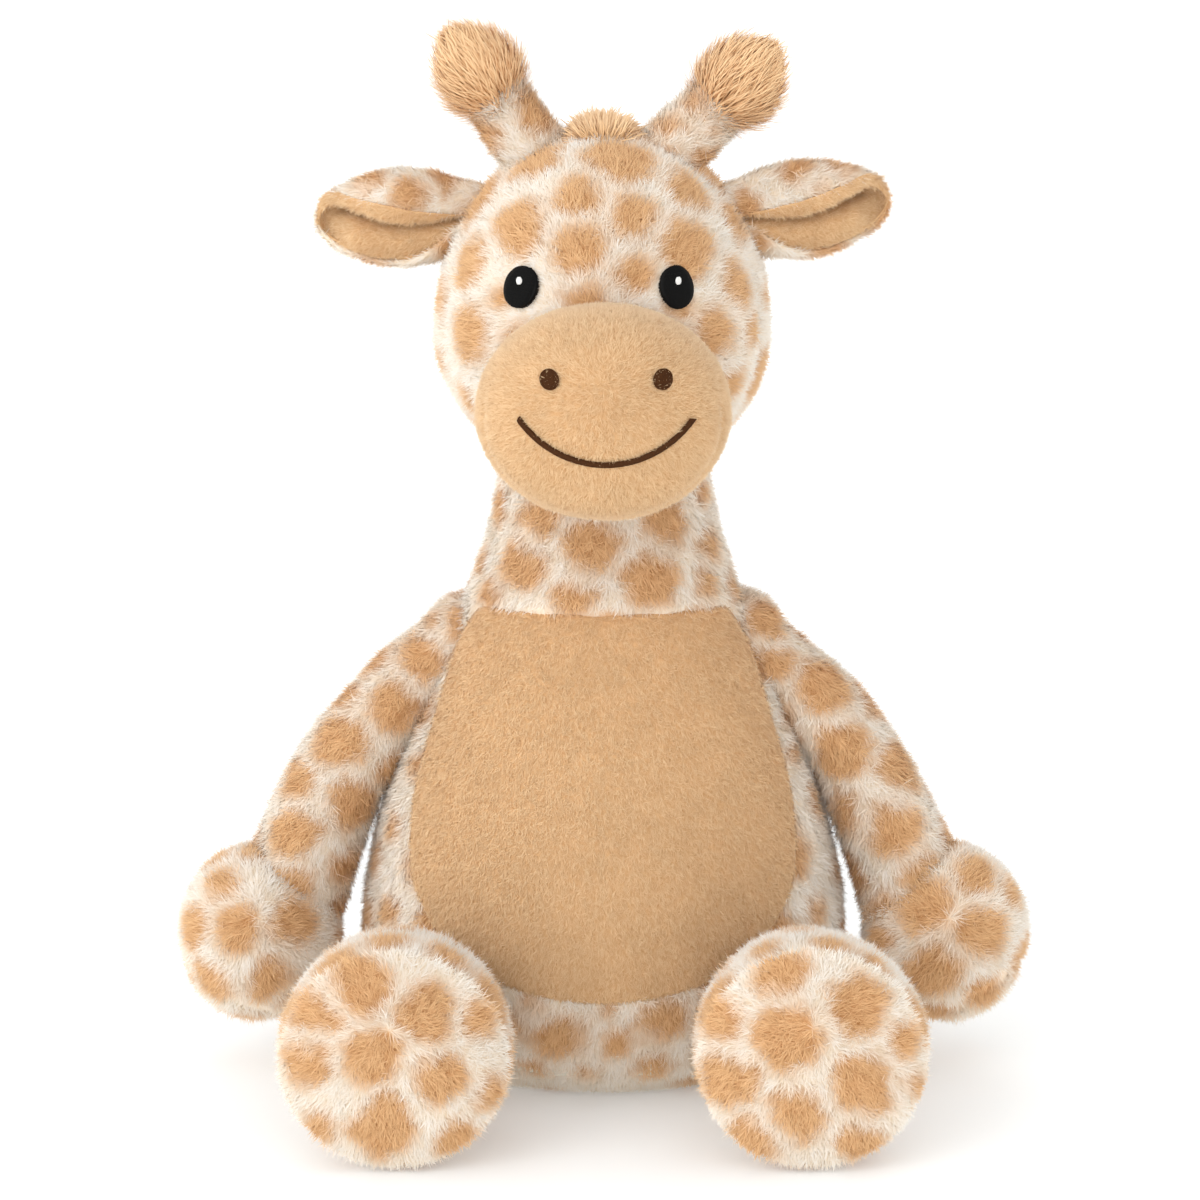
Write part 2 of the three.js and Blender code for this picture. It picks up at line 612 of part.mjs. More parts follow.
function makeArm(side) {
  const sign = sideOf[side];
  const root = shoulder(side);
  const wrist = vec(sign * wristHalfSpan, -wristForward, wristHeight);
  const along = wrist.clone().sub(root);
  const outward = vec(-along.z * sign, 0, along.x * sign).normalize();
  const rings = armLengthShares.map((share) => {
    const bow = Math.sin(Math.PI * Math.min(share, 1)) * elbowBow;
    return {
      at: root.clone().addScaledVector(along, share).addScaledVector(outward, bow),
      wide: outward.clone().multiplyScalar(THREE.MathUtils.lerp(armRootHalfWidth, wristHalfWidth, share)),
      deep: vec(0, THREE.MathUtils.lerp(armRootHalfDepth, wristHalfDepth, share), 0),
    };
  });
  const middle = wrist.clone().add(vec(sign * handOut, -handForward, -handDrop));
  const handForm = (grow) => {
    const handRings = ballShares.map((share) => {
      const size = Math.sqrt(1 - share * share);
      return {
        at: middle.clone().add(vec(sign * share * handHalfWidth * handLeanShare, 0, share * handHalfHeight)),
        wide: vec(size * handHalfWidth, 0, 0),
        deep: vec(0, size * handHalfDepth, 0),
      };
    });
    const pole = (end) => middle.clone().add(vec(0, 0, end * handHalfHeight));
    return form(handRings, limbSides, pole(-1), pole(1), grow);
  };
  const clear = (piece) => largest(piece.subtract(bodyForm(bendGap)));
  const sleeve = clear(form(rings, limbSides, root, rings.at(-1).at)).add(ball(root, shoulderRadius));
  add(`${side}_arm`, sleeve.subtract(handForm(seamGap)), spottedPlush);
  add(`${side}_hand`, clear(handForm(0)), spottedPlush);
}

function makeLeg(side) {
  const sign = sideOf[side];
  const root = hip(side);
  const middle = vec(sign * footHalfSpan, -footForward, footHalfHeight + floorGap);
  const seam = -(footForward + footFront);
  const ring = (y, share) => ({
    at: vec(middle.x, y, middle.z),
    wide: vec(share * footHalfWidth, 0, 0),
    deep: vec(0, 0, share * footHalfHeight),
  });
  const point = (y) => vec(middle.x, y, middle.z);
  const inset = panelCloth + seamGap;
  const dome = (y) => domeShares.map((share, i) =>
    ring(y - (soleDome - inset) * share, domeSizeShares[i] * soleShare));
  const footForm = (grow) => {
    const rings = footBackShares.map((share, i) =>
      ring(-(footForward - footBack * share), footBackSizeShares[i]));
    rings.push(ring(-(footForward + footFront * footRimShare), 1), ring(seam, soleShare), ...dome(seam));
    return form(rings, footSides, point(-(footForward - footBack)), point(seam - (soleDome - inset)), grow);
  };
  const ankle = point(-(footForward - footBack * ankleShare));
  const along = ankle.clone().sub(root);
  const legRings = legLengthShares.map((share) => ({
    at: root.clone().addScaledVector(along, share), wide: vec(legRadius, 0, 0), deep: vec(0, 0, legRadius),
  }));
  const tube = form(legRings, limbSides, root, legRings.at(-1).at).subtract(footForm(seamGap));
  const normal = vec(along.x, along.y, 0).normalize();
  const bulge = Math.hypot(normal.x * hipHalfWidth, normal.y * bellyDepth) + bendGap;
  const face = { at: normal.clone().multiplyScalar(bulge).setZ(hipRise), normal };
  const outside = inFrontOf(tube, face, root, xAxis, [-legUp, legDown]);
  add(`${side}_leg`, outside.add(ball(root, hipRadius, xAxis).subtract(footForm(seamGap))), spottedPlush);
  add(`${side}_foot`, footForm(0), spottedPlush);
  const rear = [ring(seam - seamGap, soleShare), ...dome(seam - seamGap)];
  const front = [ring(seam - inset, soleShare), ...dome(seam - inset)];
  const hollow = point(seam - seamGap - soleDome + inset);
  const sole = form([...rear.reverse(), ...front], footSides, hollow, point(seam - soleDome));
  add(`${side}_sole`, sole, spottedPlush);
}

function makeTail() {
  const at = (i) => tailRoot.clone()
    .add(vec(0, tailOutShares[i] * (tailOut + tailRootRadius), -tailDropShares[i] * tailDrop));
  const rings = tailOutShares.map((share, i) => ({
    at: at(i),
    wide: vec(tailRadius, 0, 0),
    deep: vec(0, tailRadius * tailDeepShares[i][0], tailRadius * tailDeepShares[i][1]),
  }));
  const end = at(3);
  const tuftForm = (grow) => {
    const top = end.clone().add(vec(0, 0, tailRadius));
    const tuftRings = tipLengthShares.map((share, i) => ({
      at: top.clone().add(vec(0, 0, -share * tuftLength)),
      wide: vec(tipSizeShares[i] * tuftRadius, 0, 0),
      deep: vec(0, tipSizeShares[i] * tuftRadius, 0),
    }));
    return form(tuftRings, smallSides, top, top.clone().add(vec(0, 0, -tuftLength)), grow);
  };
  const cord = form(rings, smallSides, tailRoot, end).subtract(tuftForm(seamGap));
  const face = { at: vec(0, backDepth + bendGap, 0), normal: yAxis };
  const hanging = inFrontOf(cord, face, tailRoot, yAxis, [0]);
  add('tail', hanging.add(ball(tailRoot, tailRootRadius, yAxis, smallSides)), spottedPlush);
  add('tail_tuft', tuftForm(0), longPile);
}

// Zip across the back of the base: tape, teeth and a flat slider
function makeZip() {
  const end = zipLength / 2 - seamGap;
  const tapeTop = coverWall;
  const tapeLow = tapeTop - zipTapeThickness;
  const half = zipTapeWidth / 2 - seamGap;
  add('zip_tape', box(vec(-end, zipBehind - half, tapeLow), vec(end, zipBehind + half, tapeTop)), zipCloth);
  const coilTop = tapeLow - seamGap;
  const coilLow = coilTop - zipCoilHeight;
  const coilHalf = zipCoilWidth / 2;
  let coil = box(vec(-end, zipBehind - coilHalf, coilLow), vec(end, zipBehind + coilHalf, coilTop));
  const count = Math.floor((2 * end) / zipToothPitch);
  const spine = zipCoilHeight * coilSpineShare;
  for (let i = 0; i < count; i++) {
    const x = -end + zipToothPitch * (i + 0.5);
    coil = coil.subtract(box(
      vec(x - zipToothGap / 2, zipBehind - coilHalf - overrun, coilLow - overrun),
      vec(x + zipToothGap / 2, zipBehind + coilHalf + overrun, coilTop - spine)));
  }
  add('zip_teeth', coil, zipNylon);
  const channel = coilHalf + zipRun;
  const sliderEnd = end - seamGap;
  const outer = box(
    vec(sliderEnd - sliderLength, zipBehind - sliderWidth / 2, sliderFloor),
    vec(sliderEnd, zipBehind + sliderWidth / 2, coilTop));
  const hollow = box(
    vec(-end - overrun, zipBehind - channel, sliderFloor + sliderPlate),
    vec(end + overrun, zipBehind + channel, coilTop + overrun));
  add('zip_slider', outer.subtract(hollow), zipNylon);
}

makeBody();
makeMane();
makeHead();
makeFace();
makeEar('left', leftEarTilt);
makeEar('right', rightEarTilt);
makeHorn('left', leftHornTilt);
makeHorn('right', rightHornTilt);
for (const side of ['left', 'right']) {
  makeArm(side);
  makeLeg(side);
}
makeTail();
makeZip();

export default group;
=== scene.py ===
"""A sitting plush giraffe: skins, pile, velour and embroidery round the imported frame."""
import json
import math

import bmesh
import bpy
import numpy as np
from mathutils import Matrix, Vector, noise
from mathutils.bvhtree import BVHTree
from mathutils.kdtree import KDTree


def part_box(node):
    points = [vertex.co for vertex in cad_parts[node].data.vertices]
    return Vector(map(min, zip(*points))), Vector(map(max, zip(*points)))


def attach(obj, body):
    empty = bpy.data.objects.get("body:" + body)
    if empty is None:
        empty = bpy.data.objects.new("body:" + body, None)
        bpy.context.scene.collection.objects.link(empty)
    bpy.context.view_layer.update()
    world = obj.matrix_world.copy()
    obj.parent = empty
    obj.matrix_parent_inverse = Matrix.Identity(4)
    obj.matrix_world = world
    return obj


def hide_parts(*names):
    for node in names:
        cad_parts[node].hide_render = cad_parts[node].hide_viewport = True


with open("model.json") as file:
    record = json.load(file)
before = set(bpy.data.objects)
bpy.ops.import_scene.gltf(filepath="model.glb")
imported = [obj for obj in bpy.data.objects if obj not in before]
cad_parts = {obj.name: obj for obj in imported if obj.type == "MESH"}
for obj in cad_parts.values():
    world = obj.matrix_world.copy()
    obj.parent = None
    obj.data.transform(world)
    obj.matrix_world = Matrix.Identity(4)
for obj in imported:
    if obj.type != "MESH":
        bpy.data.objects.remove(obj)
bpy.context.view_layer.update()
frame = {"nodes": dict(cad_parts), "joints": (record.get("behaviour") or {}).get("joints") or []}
MM = 0.001
LEFT, RIGHT = 1, -1
SIDE_NAMES = {LEFT: "left", RIGHT: "right"}
DOWN, ACROSS, BACKWARD = np.array([0, 0, -1.0]), np.array([1.0, 0, 0]), np.array([0, 1.0, 0])

# The three piles: a strand's length and width, strands in a square metre, how far they stray, the size and pull of
# the locks they gather in, and the size of their tufts
PLUSH = {"length": 4.1 * MM, "width": 0.42 * MM, "per_area": 4.6e6, "stray": 0.8, "lock": 5 * MM, "pull": 2.6,
         "tuft": 2.2 * MM}
VELOUR = {"length": 1.9 * MM, "width": 0.32 * MM, "per_area": 7.0e6, "stray": 0.8, "lock": 2.6 * MM, "pull": 3.0,
          "tuft": 0.8 * MM}
LONG = {"length": 9 * MM, "width": 0.42 * MM, "per_area": 3.4e6, "stray": 0.35, "lock": 4 * MM, "pull": 1.0,
        "tuft": 1.5 * MM}
PLUSH_RISE = 2.1 * MM  # of the plush's surface above its skin
VELOUR_RISE = 0.8 * MM
PLUSH_LEAN = 0.6  # of its length, how far a strand carries its colour
FLOOR_LIFT = 0.25 * MM  # of the lowest strands above the ground
LOCK_TIP, STRAY_TIP = 0.3, 0.45  # shares of lock and stray that tip a strand away from upright
LENGTH_BY_SHADE, LENGTH_BY_TUFT = (0.5, 0.75), (1.8, 0.1)  # slope and start
SHADE_OWN, SHADE_BY_TUFT = 0.4, (2.2, 0.8)  # slope of a strand's own random tone, and slope and loss of the painted shade of its tuft
SKIN_SHADE = 0.55  # painted shade of the cloth seen between the strands
BURIED_LENGTH = 0.3  # of pile that a limb covers
BURIED_BARE = -16 * MM  # how deep in a limb a skin is bare

# Spots of the plush
SPOT_RADIUS, SPOT_STEP = 10.5 * MM, 22.0 * MM
SPOT_GAP, SPOT_EDGE = 4.2 * MM, 3.2 * MM
SPOT_CROWDING, SPOT_ROUNDS = (1.0, 0.9), 5  # shares of the step at which spots are added, and rounds that even them
SPOT_WARPS = [(9 * MM, 3.2 * MM, 0), (3.5 * MM, 1.2 * MM, 9)]  # size, reach and seed of the waves in their edges
# Spots that the photograph shows: across, down and radius in its own points
FACE_SPOTS = [
    (578, 195, 24), (622, 159, 33), (535, 163, 27), (519, 227, 27), (477, 202, 20), (469, 262, 24), (469, 335, 25),
    (578, 252, 26), (634, 216, 24), (686, 190, 24), (689, 246, 28), (634, 271, 19), (730, 225, 20), (737, 285, 23),
    (716, 333, 24), (751, 333, 15), (443, 301, 16), (441, 250, 15), (443, 358, 16), (469, 397, 16), (498, 298, 13),
    (581, 298, 20), (668, 155, 20), (731, 383, 15), (684, 306, 13), (762, 294, 12), (760, 248, 12), (751, 392, 14),
]
NECK_SPOTS = [
    (539, 522, 22), (592, 550, 28), (663, 526, 26), (521, 568, 25), (651, 581, 29), (707, 547, 19), (501, 510, 17),
    (575, 602, 22), (707, 587, 16), (483, 566, 14), (701, 495, 14), (732, 590, 15), (489, 597, 14),
]
ARM_SPOTS = [
    (420, 657, 24), (392, 711, 25), (338, 743, 26), (352, 806, 26), (296, 784, 20), (291, 840, 26), (389, 770, 20),
    (344, 871, 20), (378, 663, 18), (344, 702, 18), (462, 621, 18), (431, 627, 14), (263, 823, 14), (768, 621, 22),
    (816, 643, 22), (827, 688, 27), (779, 666, 18), (844, 753, 27), (886, 722, 22), (903, 772, 25), (894, 831, 27),
    (849, 817, 22), (948, 843, 22), (939, 803, 16), (852, 868, 18),
]
HAND_SPOTS = [
    (288, 885, 22), (296, 921, 24), (237, 924, 26), (223, 883, 19), (194, 927, 20), (215, 983, 23), (271, 983, 25),
    (338, 907, 16), (920, 904, 29), (981, 932, 28), (976, 871, 24), (934, 974, 27), (1026, 935, 17), (987, 994, 22),
    (931, 1011, 20), (880, 941, 16), (1012, 893, 15),
]
FLANK_SPOTS = [
    (417, 770, 14), (378, 865, 17), (389, 913, 18), (450, 660, 12), (394, 831, 14), (785, 725, 12), (813, 806, 16),
    (833, 873, 16), (816, 915, 16), (793, 758, 12), (557, 1038, 25), (617, 1044, 18), (663, 1024, 23), (534, 1066, 15),
    (588, 1072, 14), (649, 1066, 19), (530, 1008, 11), (611, 1014, 11), (513, 1023, 13),
]
FOOT_SPOTS = [
    (357, 984, 34), (430, 1011, 31), (371, 1057, 32), (308, 1061, 28), (444, 1080, 29), (381, 1130, 34),
    (458, 1138, 22), (483, 1018, 20), (389, 943, 22), (448, 957, 18), (297, 995, 18), (321, 1130, 20), (494, 1093, 16),
    (399, 1164, 18), (335, 954, 15), (785, 1036, 40), (860, 1004, 32), (865, 1086, 34), (790, 1121, 33),
    (726, 1080, 30), (717, 1016, 24), (783, 971, 28), (908, 1041, 20), (860, 1143, 24), (831, 946, 19), (764, 952, 16),
    (715, 1136, 20), (801, 934, 14), (874, 964, 16), (689, 1079, 15), (785, 1168, 18), (917, 1086, 14), (728, 971, 14),
]
EAR_SPOTS = [
    (403, 194, 20), (441, 181, 20), (363, 181, 15), (328, 201, 12), (438, 219, 16), (466, 192, 13), (740, 171, 20),
    (806, 171, 22), (856, 166, 15), (748, 209, 18), (778, 209, 14), (821, 187, 13),
]
HORN_SPOTS = [
    (486, 133, 20), (536, 110, 24), (491, 100, 12), (663, 105, 20), (672, 126, 18), (695, 106, 13), (703, 154, 18),
    (710, 124, 9),
]
SEEN_SPOTS = [(FACE_SPOTS, 1.12), (NECK_SPOTS, 1.08), (ARM_SPOTS, 1.12), (HAND_SPOTS, 1.12), (FLANK_SPOTS, 1.03),
              (FOOT_SPOTS, 0.97), (EAR_SPOTS, 1.0), (HORN_SPOTS, 1.0)]
SPOT_POINT = 0.36 * MM  # of the toy in one point of the photograph

# The camera's place, as in the photograph
VIEW_DISTANCE, VIEW_RISE, VIEW_TARGET = 1300 * MM, math.radians(11.5), Vector((0, 0, 169 * MM))
VIEW_LENS, VIEW_SHIFT, PHOTO_SIZE = 108.3, -0.0025, 1200
VIEW_AWAY = Vector((0, -math.cos(VIEW_RISE), math.sin(VIEW_RISE)))

# Light. Of each sun: name, strength, spread, height above the horizon and turn to the right of the view, in degrees
AMBIENT, WARM, WHITE = 1.0, (1.0, 1.0, 0.97, 1), (1, 1, 1, 1)
SUNS = [("key_sun", 0.95, 40, 24, -42), ("fill_sun", 0.35, 70, 8, 8), ("side_sun", 0.3, 60, 15, -75)]
FLOOR_SIZE, FLOOR_TONE, FLOOR_GLOW = 60, (0.92, 0.945, 0.975, 1), 0.18
# What the floor throws up onto the toy, as a white card laid under it would
BOUNCE_TONE, BOUNCE_GLOW = (0.95, 0.945, 0.925, 1), (1.35, 1.3, 1.15, 1)

# The cloth that is blown up and sewn in
CLOTH_FRAMES, CLOTH_PRESSURE = 20, 10.0
FILLING_HOLD, FILLING_STIFFNESS = 0.7, 2.0
SEAM_SHRINK, SEAM_REACH, SWELL_CAP = 0.25, 3.5 * MM, 1.6 * MM

# Outline shares of the stuffed forms
BODY_RISE = [0, 0.03, 0.125, 0.224, 0.336, 0.453, 0.56, 0.66, 0.76, 0.85, 0.93, 1]
BODY_WIDTH = [0.7, 0.87, 0.985, 1, 0.955, 0.865, 0.765, 0.662, 0.535, 0.465, 0.425, 0.412]
BODY_FRONT = [0.68, 0.85, 0.985, 1, 0.965, 0.875, 0.765, 0.655, 0.545, 0.482, 0.458, 0.45]
BODY_BACK = [0.72, 0.88, 0.99, 1, 0.965, 0.885, 0.79, 0.69, 0.582, 0.52, 0.505, 0.5]
HEAD_RISE = [0, 0.03, 0.11, 0.22, 0.36, 0.5, 0.635, 0.76, 0.86, 0.94, 0.985, 1]
HEAD_SIZE = [0, 0.4, 0.71, 0.91, 1, 0.99, 0.93, 0.805, 0.645, 0.44, 0.22, 0]
MUZZLE_ALONG = [0, 0.22, 0.4, 0.56, 0.7, 0.82, 0.91, 0.97, 1]
MUZZLE_SIZE = [0.8, 0.92, 0.985, 1, 0.965, 0.86, 0.68, 0.42, 0]
TUMMY_RISE = [1, 0.985, 0.89, 0.7, 0.58, 0.49, 0.385, 0.27, 0.18, 0.09, 0.045, 0.012, 0]
TUMMY_WIDTH = [0.57, 0.65, 0.76, 0.87, 0.94, 0.98, 1, 0.985, 0.89, 0.71, 0.55, 0.29, 0]
FOOT_ALONG = [0, 0.05, 0.146, 0.329, 0.511, 0.784, 0.93, 1]
FOOT_SIZE = [0.2, 0.5, 0.66, 0.86, 0.955, 1, 0.995, 0.98]
EAR_ALONG = [-0.12, 0.04, 0.2, 0.4, 0.6, 0.78, 0.91, 1]
EAR_HIGH = [0.6, 0.72, 0.92, 1, 0.96, 0.8, 0.56, 0.24]
EAR_DEEP = [0.4, 0.5, 0.72, 0.95, 1, 0.9, 0.66, 0.3]
EAR_TOP = [176, 176, 172, 166, 156, 138, 106, 60]
EAR_LOW = [168, 168, 138, 108, 95, 88, 80, 60]
EAR_ROLL = [3, 3, 12, 20, 20, 20, 16, 8]  # of the lining round the upper edge
TIP_ALONG = [0, 0.03, 0.14, 0.32, 0.52, 0.72, 0.88, 0.97, 1]
TIP_SIZE = [0, 0.55, 0.8, 0.97, 1, 0.88, 0.6, 0.3, 0]
TAIL_OUT = [0, 0.7, 1, 0.95]
TAIL_DROP = [0, 0.16, 0.5, 1]

# Sizes of the stuffed forms
HEAD_OVER_NECK, NECK_PINCH, DISH_DEPTH, SOLE_LIFT = 17 * MM, 1.4 * MM, -1.3 * MM, 0.6 * MM
TORSO_SIDES = 110
TUMMY_RIM, TUMMY_BACK = 1.6 * MM, 0.9 * MM  # how far its edge turns in, and how deep its back lies in the body
MUZZLE_RISE, MUZZLE_SEAM_TURNS = 34 * MM, (-187, 7)
STRIP_HIGH, STRIP_LOW = 0.9, 0.2  # of the mane's backing above its skin, in mm
MUZZLE_LENGTH, MUZZLE_DROOP, MUZZLE_HALF = 78 * MM, 3 * MM, (43 * MM, 36 * MM)
MUZZLE_SEAM = 0.72  # of the way from the muzzle's root to its front
FACE_SEAM_TURN = math.radians(-20)
HAND_HALF = np.array([30.5, 28, 33]) * MM
HAND_SEAM, HAND_SEAM_SHIFT = [0.88, 0.86, 0.42], [0, -0.16, -0.34]  # shares of the hand
LIMB_END = 1.1  # a limb runs on into its hand or foot
WRIST_FROM_HAND = np.array([-14, 3, 18]) * MM
ELBOW_BOW, ARM_HALF, SHOULDER_RADIUS = 9 * MM, (14 * MM, 21 * MM), 15.5 * MM
HIP_RADIUS, LEG_RADIUS, ANKLE_INSET = 22.5 * MM, 21 * MM, 13 * MM
SOLE_SHARE, FOOT_SIDES, SOLE_RINGS, SOLE_BACK = 0.98, 84, 33, (0.97, 0.7, 0.4, 0.1)
EAR_REACH, EAR_HALF_HIGH, EAR_HALF_DEEP = 52.5 * MM, 15.5 * MM, 11 * MM
EAR_TILT = {LEFT: 6, RIGHT: -2}
EAR_CLOTH, EAR_LINING, SEAM_GAP = 2.6 * MM, 2.0 * MM, 0.35 * MM
EAR_CREASE = 12  # degrees above the middle of the cup
EAR_LIP_OUT, EAR_LIP_BULGE = 2.5 * MM, 3.5 * MM  # of the padded lower half, in front of the cup's middle
EAR_ROWS, EAR_COLUMNS = 44, 40
HORN_RADIUS, HORN_LENGTH, TIP_START = (13.5 * MM, 12.5 * MM), 21 * MM, 2 * MM
TIP_LENGTH, TIP_RADIUS, TIP_SINK, TIP_RISE = 33 * MM, 16.5 * MM, 5 * MM, 5 * MM
TAIL_RADIUS, TUFT_RADIUS = 5 * MM, 8.5 * MM
EYE_HALF, EYE_LEAN, EYE_DOME = (5.4 * MM, 7.1 * MM), 18, 0.6 * MM
GLINT_HALF, GLINT_DOME, GLINT_LIFT = (1.0 * MM, 1.2 * MM), 0.25 * MM, 0.75 * MM
NOSTRIL_HALF, NOSTRIL_FILL, NOSTRIL_DOME = (3.0 * MM, 3.1 * MM), (2.4 * MM, 2.5 * MM), 0.4 * MM
MOUTH_LINE, MOUTH_PITCH = 1.8 * MM, 0.34 * MM
MOUTH_STITCH = [(-1, 0.1), (-0.45, 0.85), (0.45, 0.85), (1, 0.1)]  # share of the half line, and height in mm
EYE_BARE, EYE_SHORT, SHORTEST = (4.5 * MM, 7 * MM), (7 * MM, 15 * MM), 0.45  # the clipped pile round an eye
# Where the combs of the face and muzzle start, and where the mane turns down
FACE_CENTRE, MUZZLE_CENTRE, CROWN_FRONT = (0, -0.06, 0.262), (0, -0.2, 0.25), -0.01
FORELOCK_SHARE, MANE_ANGLES, FORELOCK_ANGLES = 0.78, (92, 228, 60), (77, 91, 14)  # from, to and rows


# Node trees
def operator(name, turned=False):
    def apply(self, other):
        first, second = (other, self) if turned else (self, other)
        return self.tree.node("ShaderNodeMath", {"operation": name}, {0: first, 1: second})
    return apply


class Link:
    """A socket of a node tree that can be summed and multiplied like a number."""
    __add__ = __radd__ = operator("ADD")
    __mul__ = __rmul__ = operator("MULTIPLY")
    __sub__, __rsub__, __rtruediv__ = operator("SUBTRACT"), operator("SUBTRACT", True), operator("DIVIDE", True)

    def __init__(self, tree, socket):
        self.tree, self.socket = tree, socket


class Tree:
    """A node tree. add() makes any node with its settings and inputs, and node() gives its output."""

    def __init__(self, tree):
        self.tree = tree

    def add(self, kind, settings=None, inputs=None):
        made = self.tree.nodes.new(kind)
        for name, value in (settings or {}).items():
            setattr(made, name, value)
        for name, value in (inputs or {}).items():
            if isinstance(value, Link):
                self.tree.links.new(value.socket, made.inputs[name])
            else:
                made.inputs[name].default_value = value
        return made

    def node(self, kind, settings=None, inputs=None, out=0):
        return Link(self, self.add(kind, settings, inputs).outputs[out])

    def vector(self, operation, first, second=(0, 0, 0), out=0):
        return self.node("ShaderNodeVectorMath", {"operation": operation}, {0: first, 1: second}, out)

    def scaled(self, first, share):
        return self.node("ShaderNodeVectorMath", {"operation": "SCALE"}, {0: first, 3: share})

    def mix(self, share, first, second, way="MIX"):
        settings = {"data_type": "RGBA", "blend_type": way}
        return self.node("ShaderNodeMix", settings, {0: share, 6: first, 7: second}, 2)


class Cloth(Tree):
    """A new material with one Principled shader."""

    def __init__(self, name, **fixed):
        self.material = bpy.data.materials.new(name)
        self.material.use_nodes = True
        super().__init__(self.material.node_tree)
        self.shader = self.tree.nodes["Principled BSDF"]
        for socket, value in fixed.items():
            self.shader.inputs[socket.replace("_", " ")].default_value = value

    def feed(self, **links):
        for socket, link in links.items():
            self.tree.links.new(link.socket, self.shader.inputs[socket.replace("_", " ")])
        return self.material

    def place(self):
        return self.node("ShaderNodeTexCoord", out="Object")

    def value(self, name):
        return self.node("ShaderNodeAttribute", {"attribute_name": name}, out="Fac")

    def blotch(self, size, detail=2.0):
        return self.node("ShaderNodeTexNoise", None, {"Vector": self.place(), "Scale": 1 / size, "Detail": detail})

    def grained(self, grain, first, second, depth):
        bump = self.node("ShaderNodeBump", None, {"Height": grain, "Distance": depth})
        return self.feed(Base_Color=self.mix(grain, linear(first), linear(second)), Normal=bump)

    def soft_normal(self, share):
        """The strand's own normal drawn towards that of the skin under it, but kept on the side that faces out."""
        skin = self.node("ShaderNodeAttribute", {"attribute_name": "skin_normal"}, out="Vector")
        settings = {"vector_type": "NORMAL", "convert_from": "OBJECT", "convert_to": "WORLD"}
        turned = self.node("ShaderNodeVectorTransform", settings, {"Vector": skin})
        own = self.node("ShaderNodeNewGeometry", out="Normal")
        facing = self.vector("DOT_PRODUCT", own, turned, 1)
        hidden = self.node("ShaderNodeMath", {"operation": "MAXIMUM"}, {0: 0.2 - facing, 1: 0.0})
        kept = self.scaled(own, hidden + (1 - share))
        return self.vector("NORMALIZE", self.vector("ADD", kept, self.scaled(turned, share)))


def linear(code):
    """A colour written as six hex digits, as linear light."""
    parts = [int(code[i:i + 2], 16) / 255 for i in (0, 2, 4)]
    return tuple(c / 12.92 if c <= 0.04045 else ((c + 0.055) / 1.055) ** 2.4 for c in parts) + (1,)


def pile_cloth(name, tip, root, softness, spot=None):
    """Pile whose strands darken to the root as painted shade between the strands, with another tip and root where the
    cloth is printed with a spot.
    """
    cloth = Cloth(name, Roughness=0.9, Sheen_Weight=0.25, Sheen_Roughness=0.5)
    cloth.material.cycles.use_bump_map_correction = False
    # Painted shade: the root colour stands for the shade deep in the pile; lit grows towards the tip and with the
    # strand's painted tone
    lit = cloth.value("along") * 0.5 + cloth.value("shade") * 0.75
    color = cloth.mix(lit, linear(root), linear(tip))
    if spot:
        color = cloth.mix(cloth.value("spot"), color, cloth.mix(lit, linear(spot[1]), linear(spot[0])))
    drift = cloth.blotch(14 * MM) * 0.16 + 0.92
    grey = cloth.node("ShaderNodeCombineColor", None, {0: drift, 1: drift, 2: drift})
    return cloth.feed(Base_Color=cloth.mix(1.0, color, grey, "MULTIPLY"), Normal=cloth.soft_normal(softness))


def grain_cloth(name, first, second, size, detail, depth, **fixed):
    """Thread, nylon or plain weave in two tones."""
    cloth = Cloth(name, **fixed)
    return cloth.grained(cloth.blotch(size, detail), first, second, depth)


def thread_cloth(name, first, second):
    return grain_cloth(name, first, second, 0.5 * MM, 3.0, 0.05 * MM, Roughness=0.6, Specular_IOR_Level=0.15)


def zip_tape_cloth():
    cloth = Cloth("zip_tape_weave", Roughness=0.85)
    settings = {"wave_type": "BANDS", "bands_direction": "X"}
    weave = cloth.node("ShaderNodeTexWave", settings, {"Vector": cloth.place(), "Scale": 160.0, "Distortion": 0.6})
    return cloth.grained(weave, "C9B28D", "E2D0B0", 0.12 * MM)


def new_group(group, **inputs):
    """A geometry node group, and a function that gives its inputs."""
    tree = bpy.data.node_groups.new(group, "GeometryNodeTree")
    tree.interface.new_socket("geometry", in_out="OUTPUT", socket_type="NodeSocketGeometry")
    for name, kind in {"geometry": "Geometry", **inputs}.items():
        tree.interface.new_socket(name, in_out="INPUT", socket_type="NodeSocket" + kind)
    t, given = Tree(tree), tree.nodes.new("NodeGroupInput")
    return t, lambda name: Link(t, given.outputs[name])


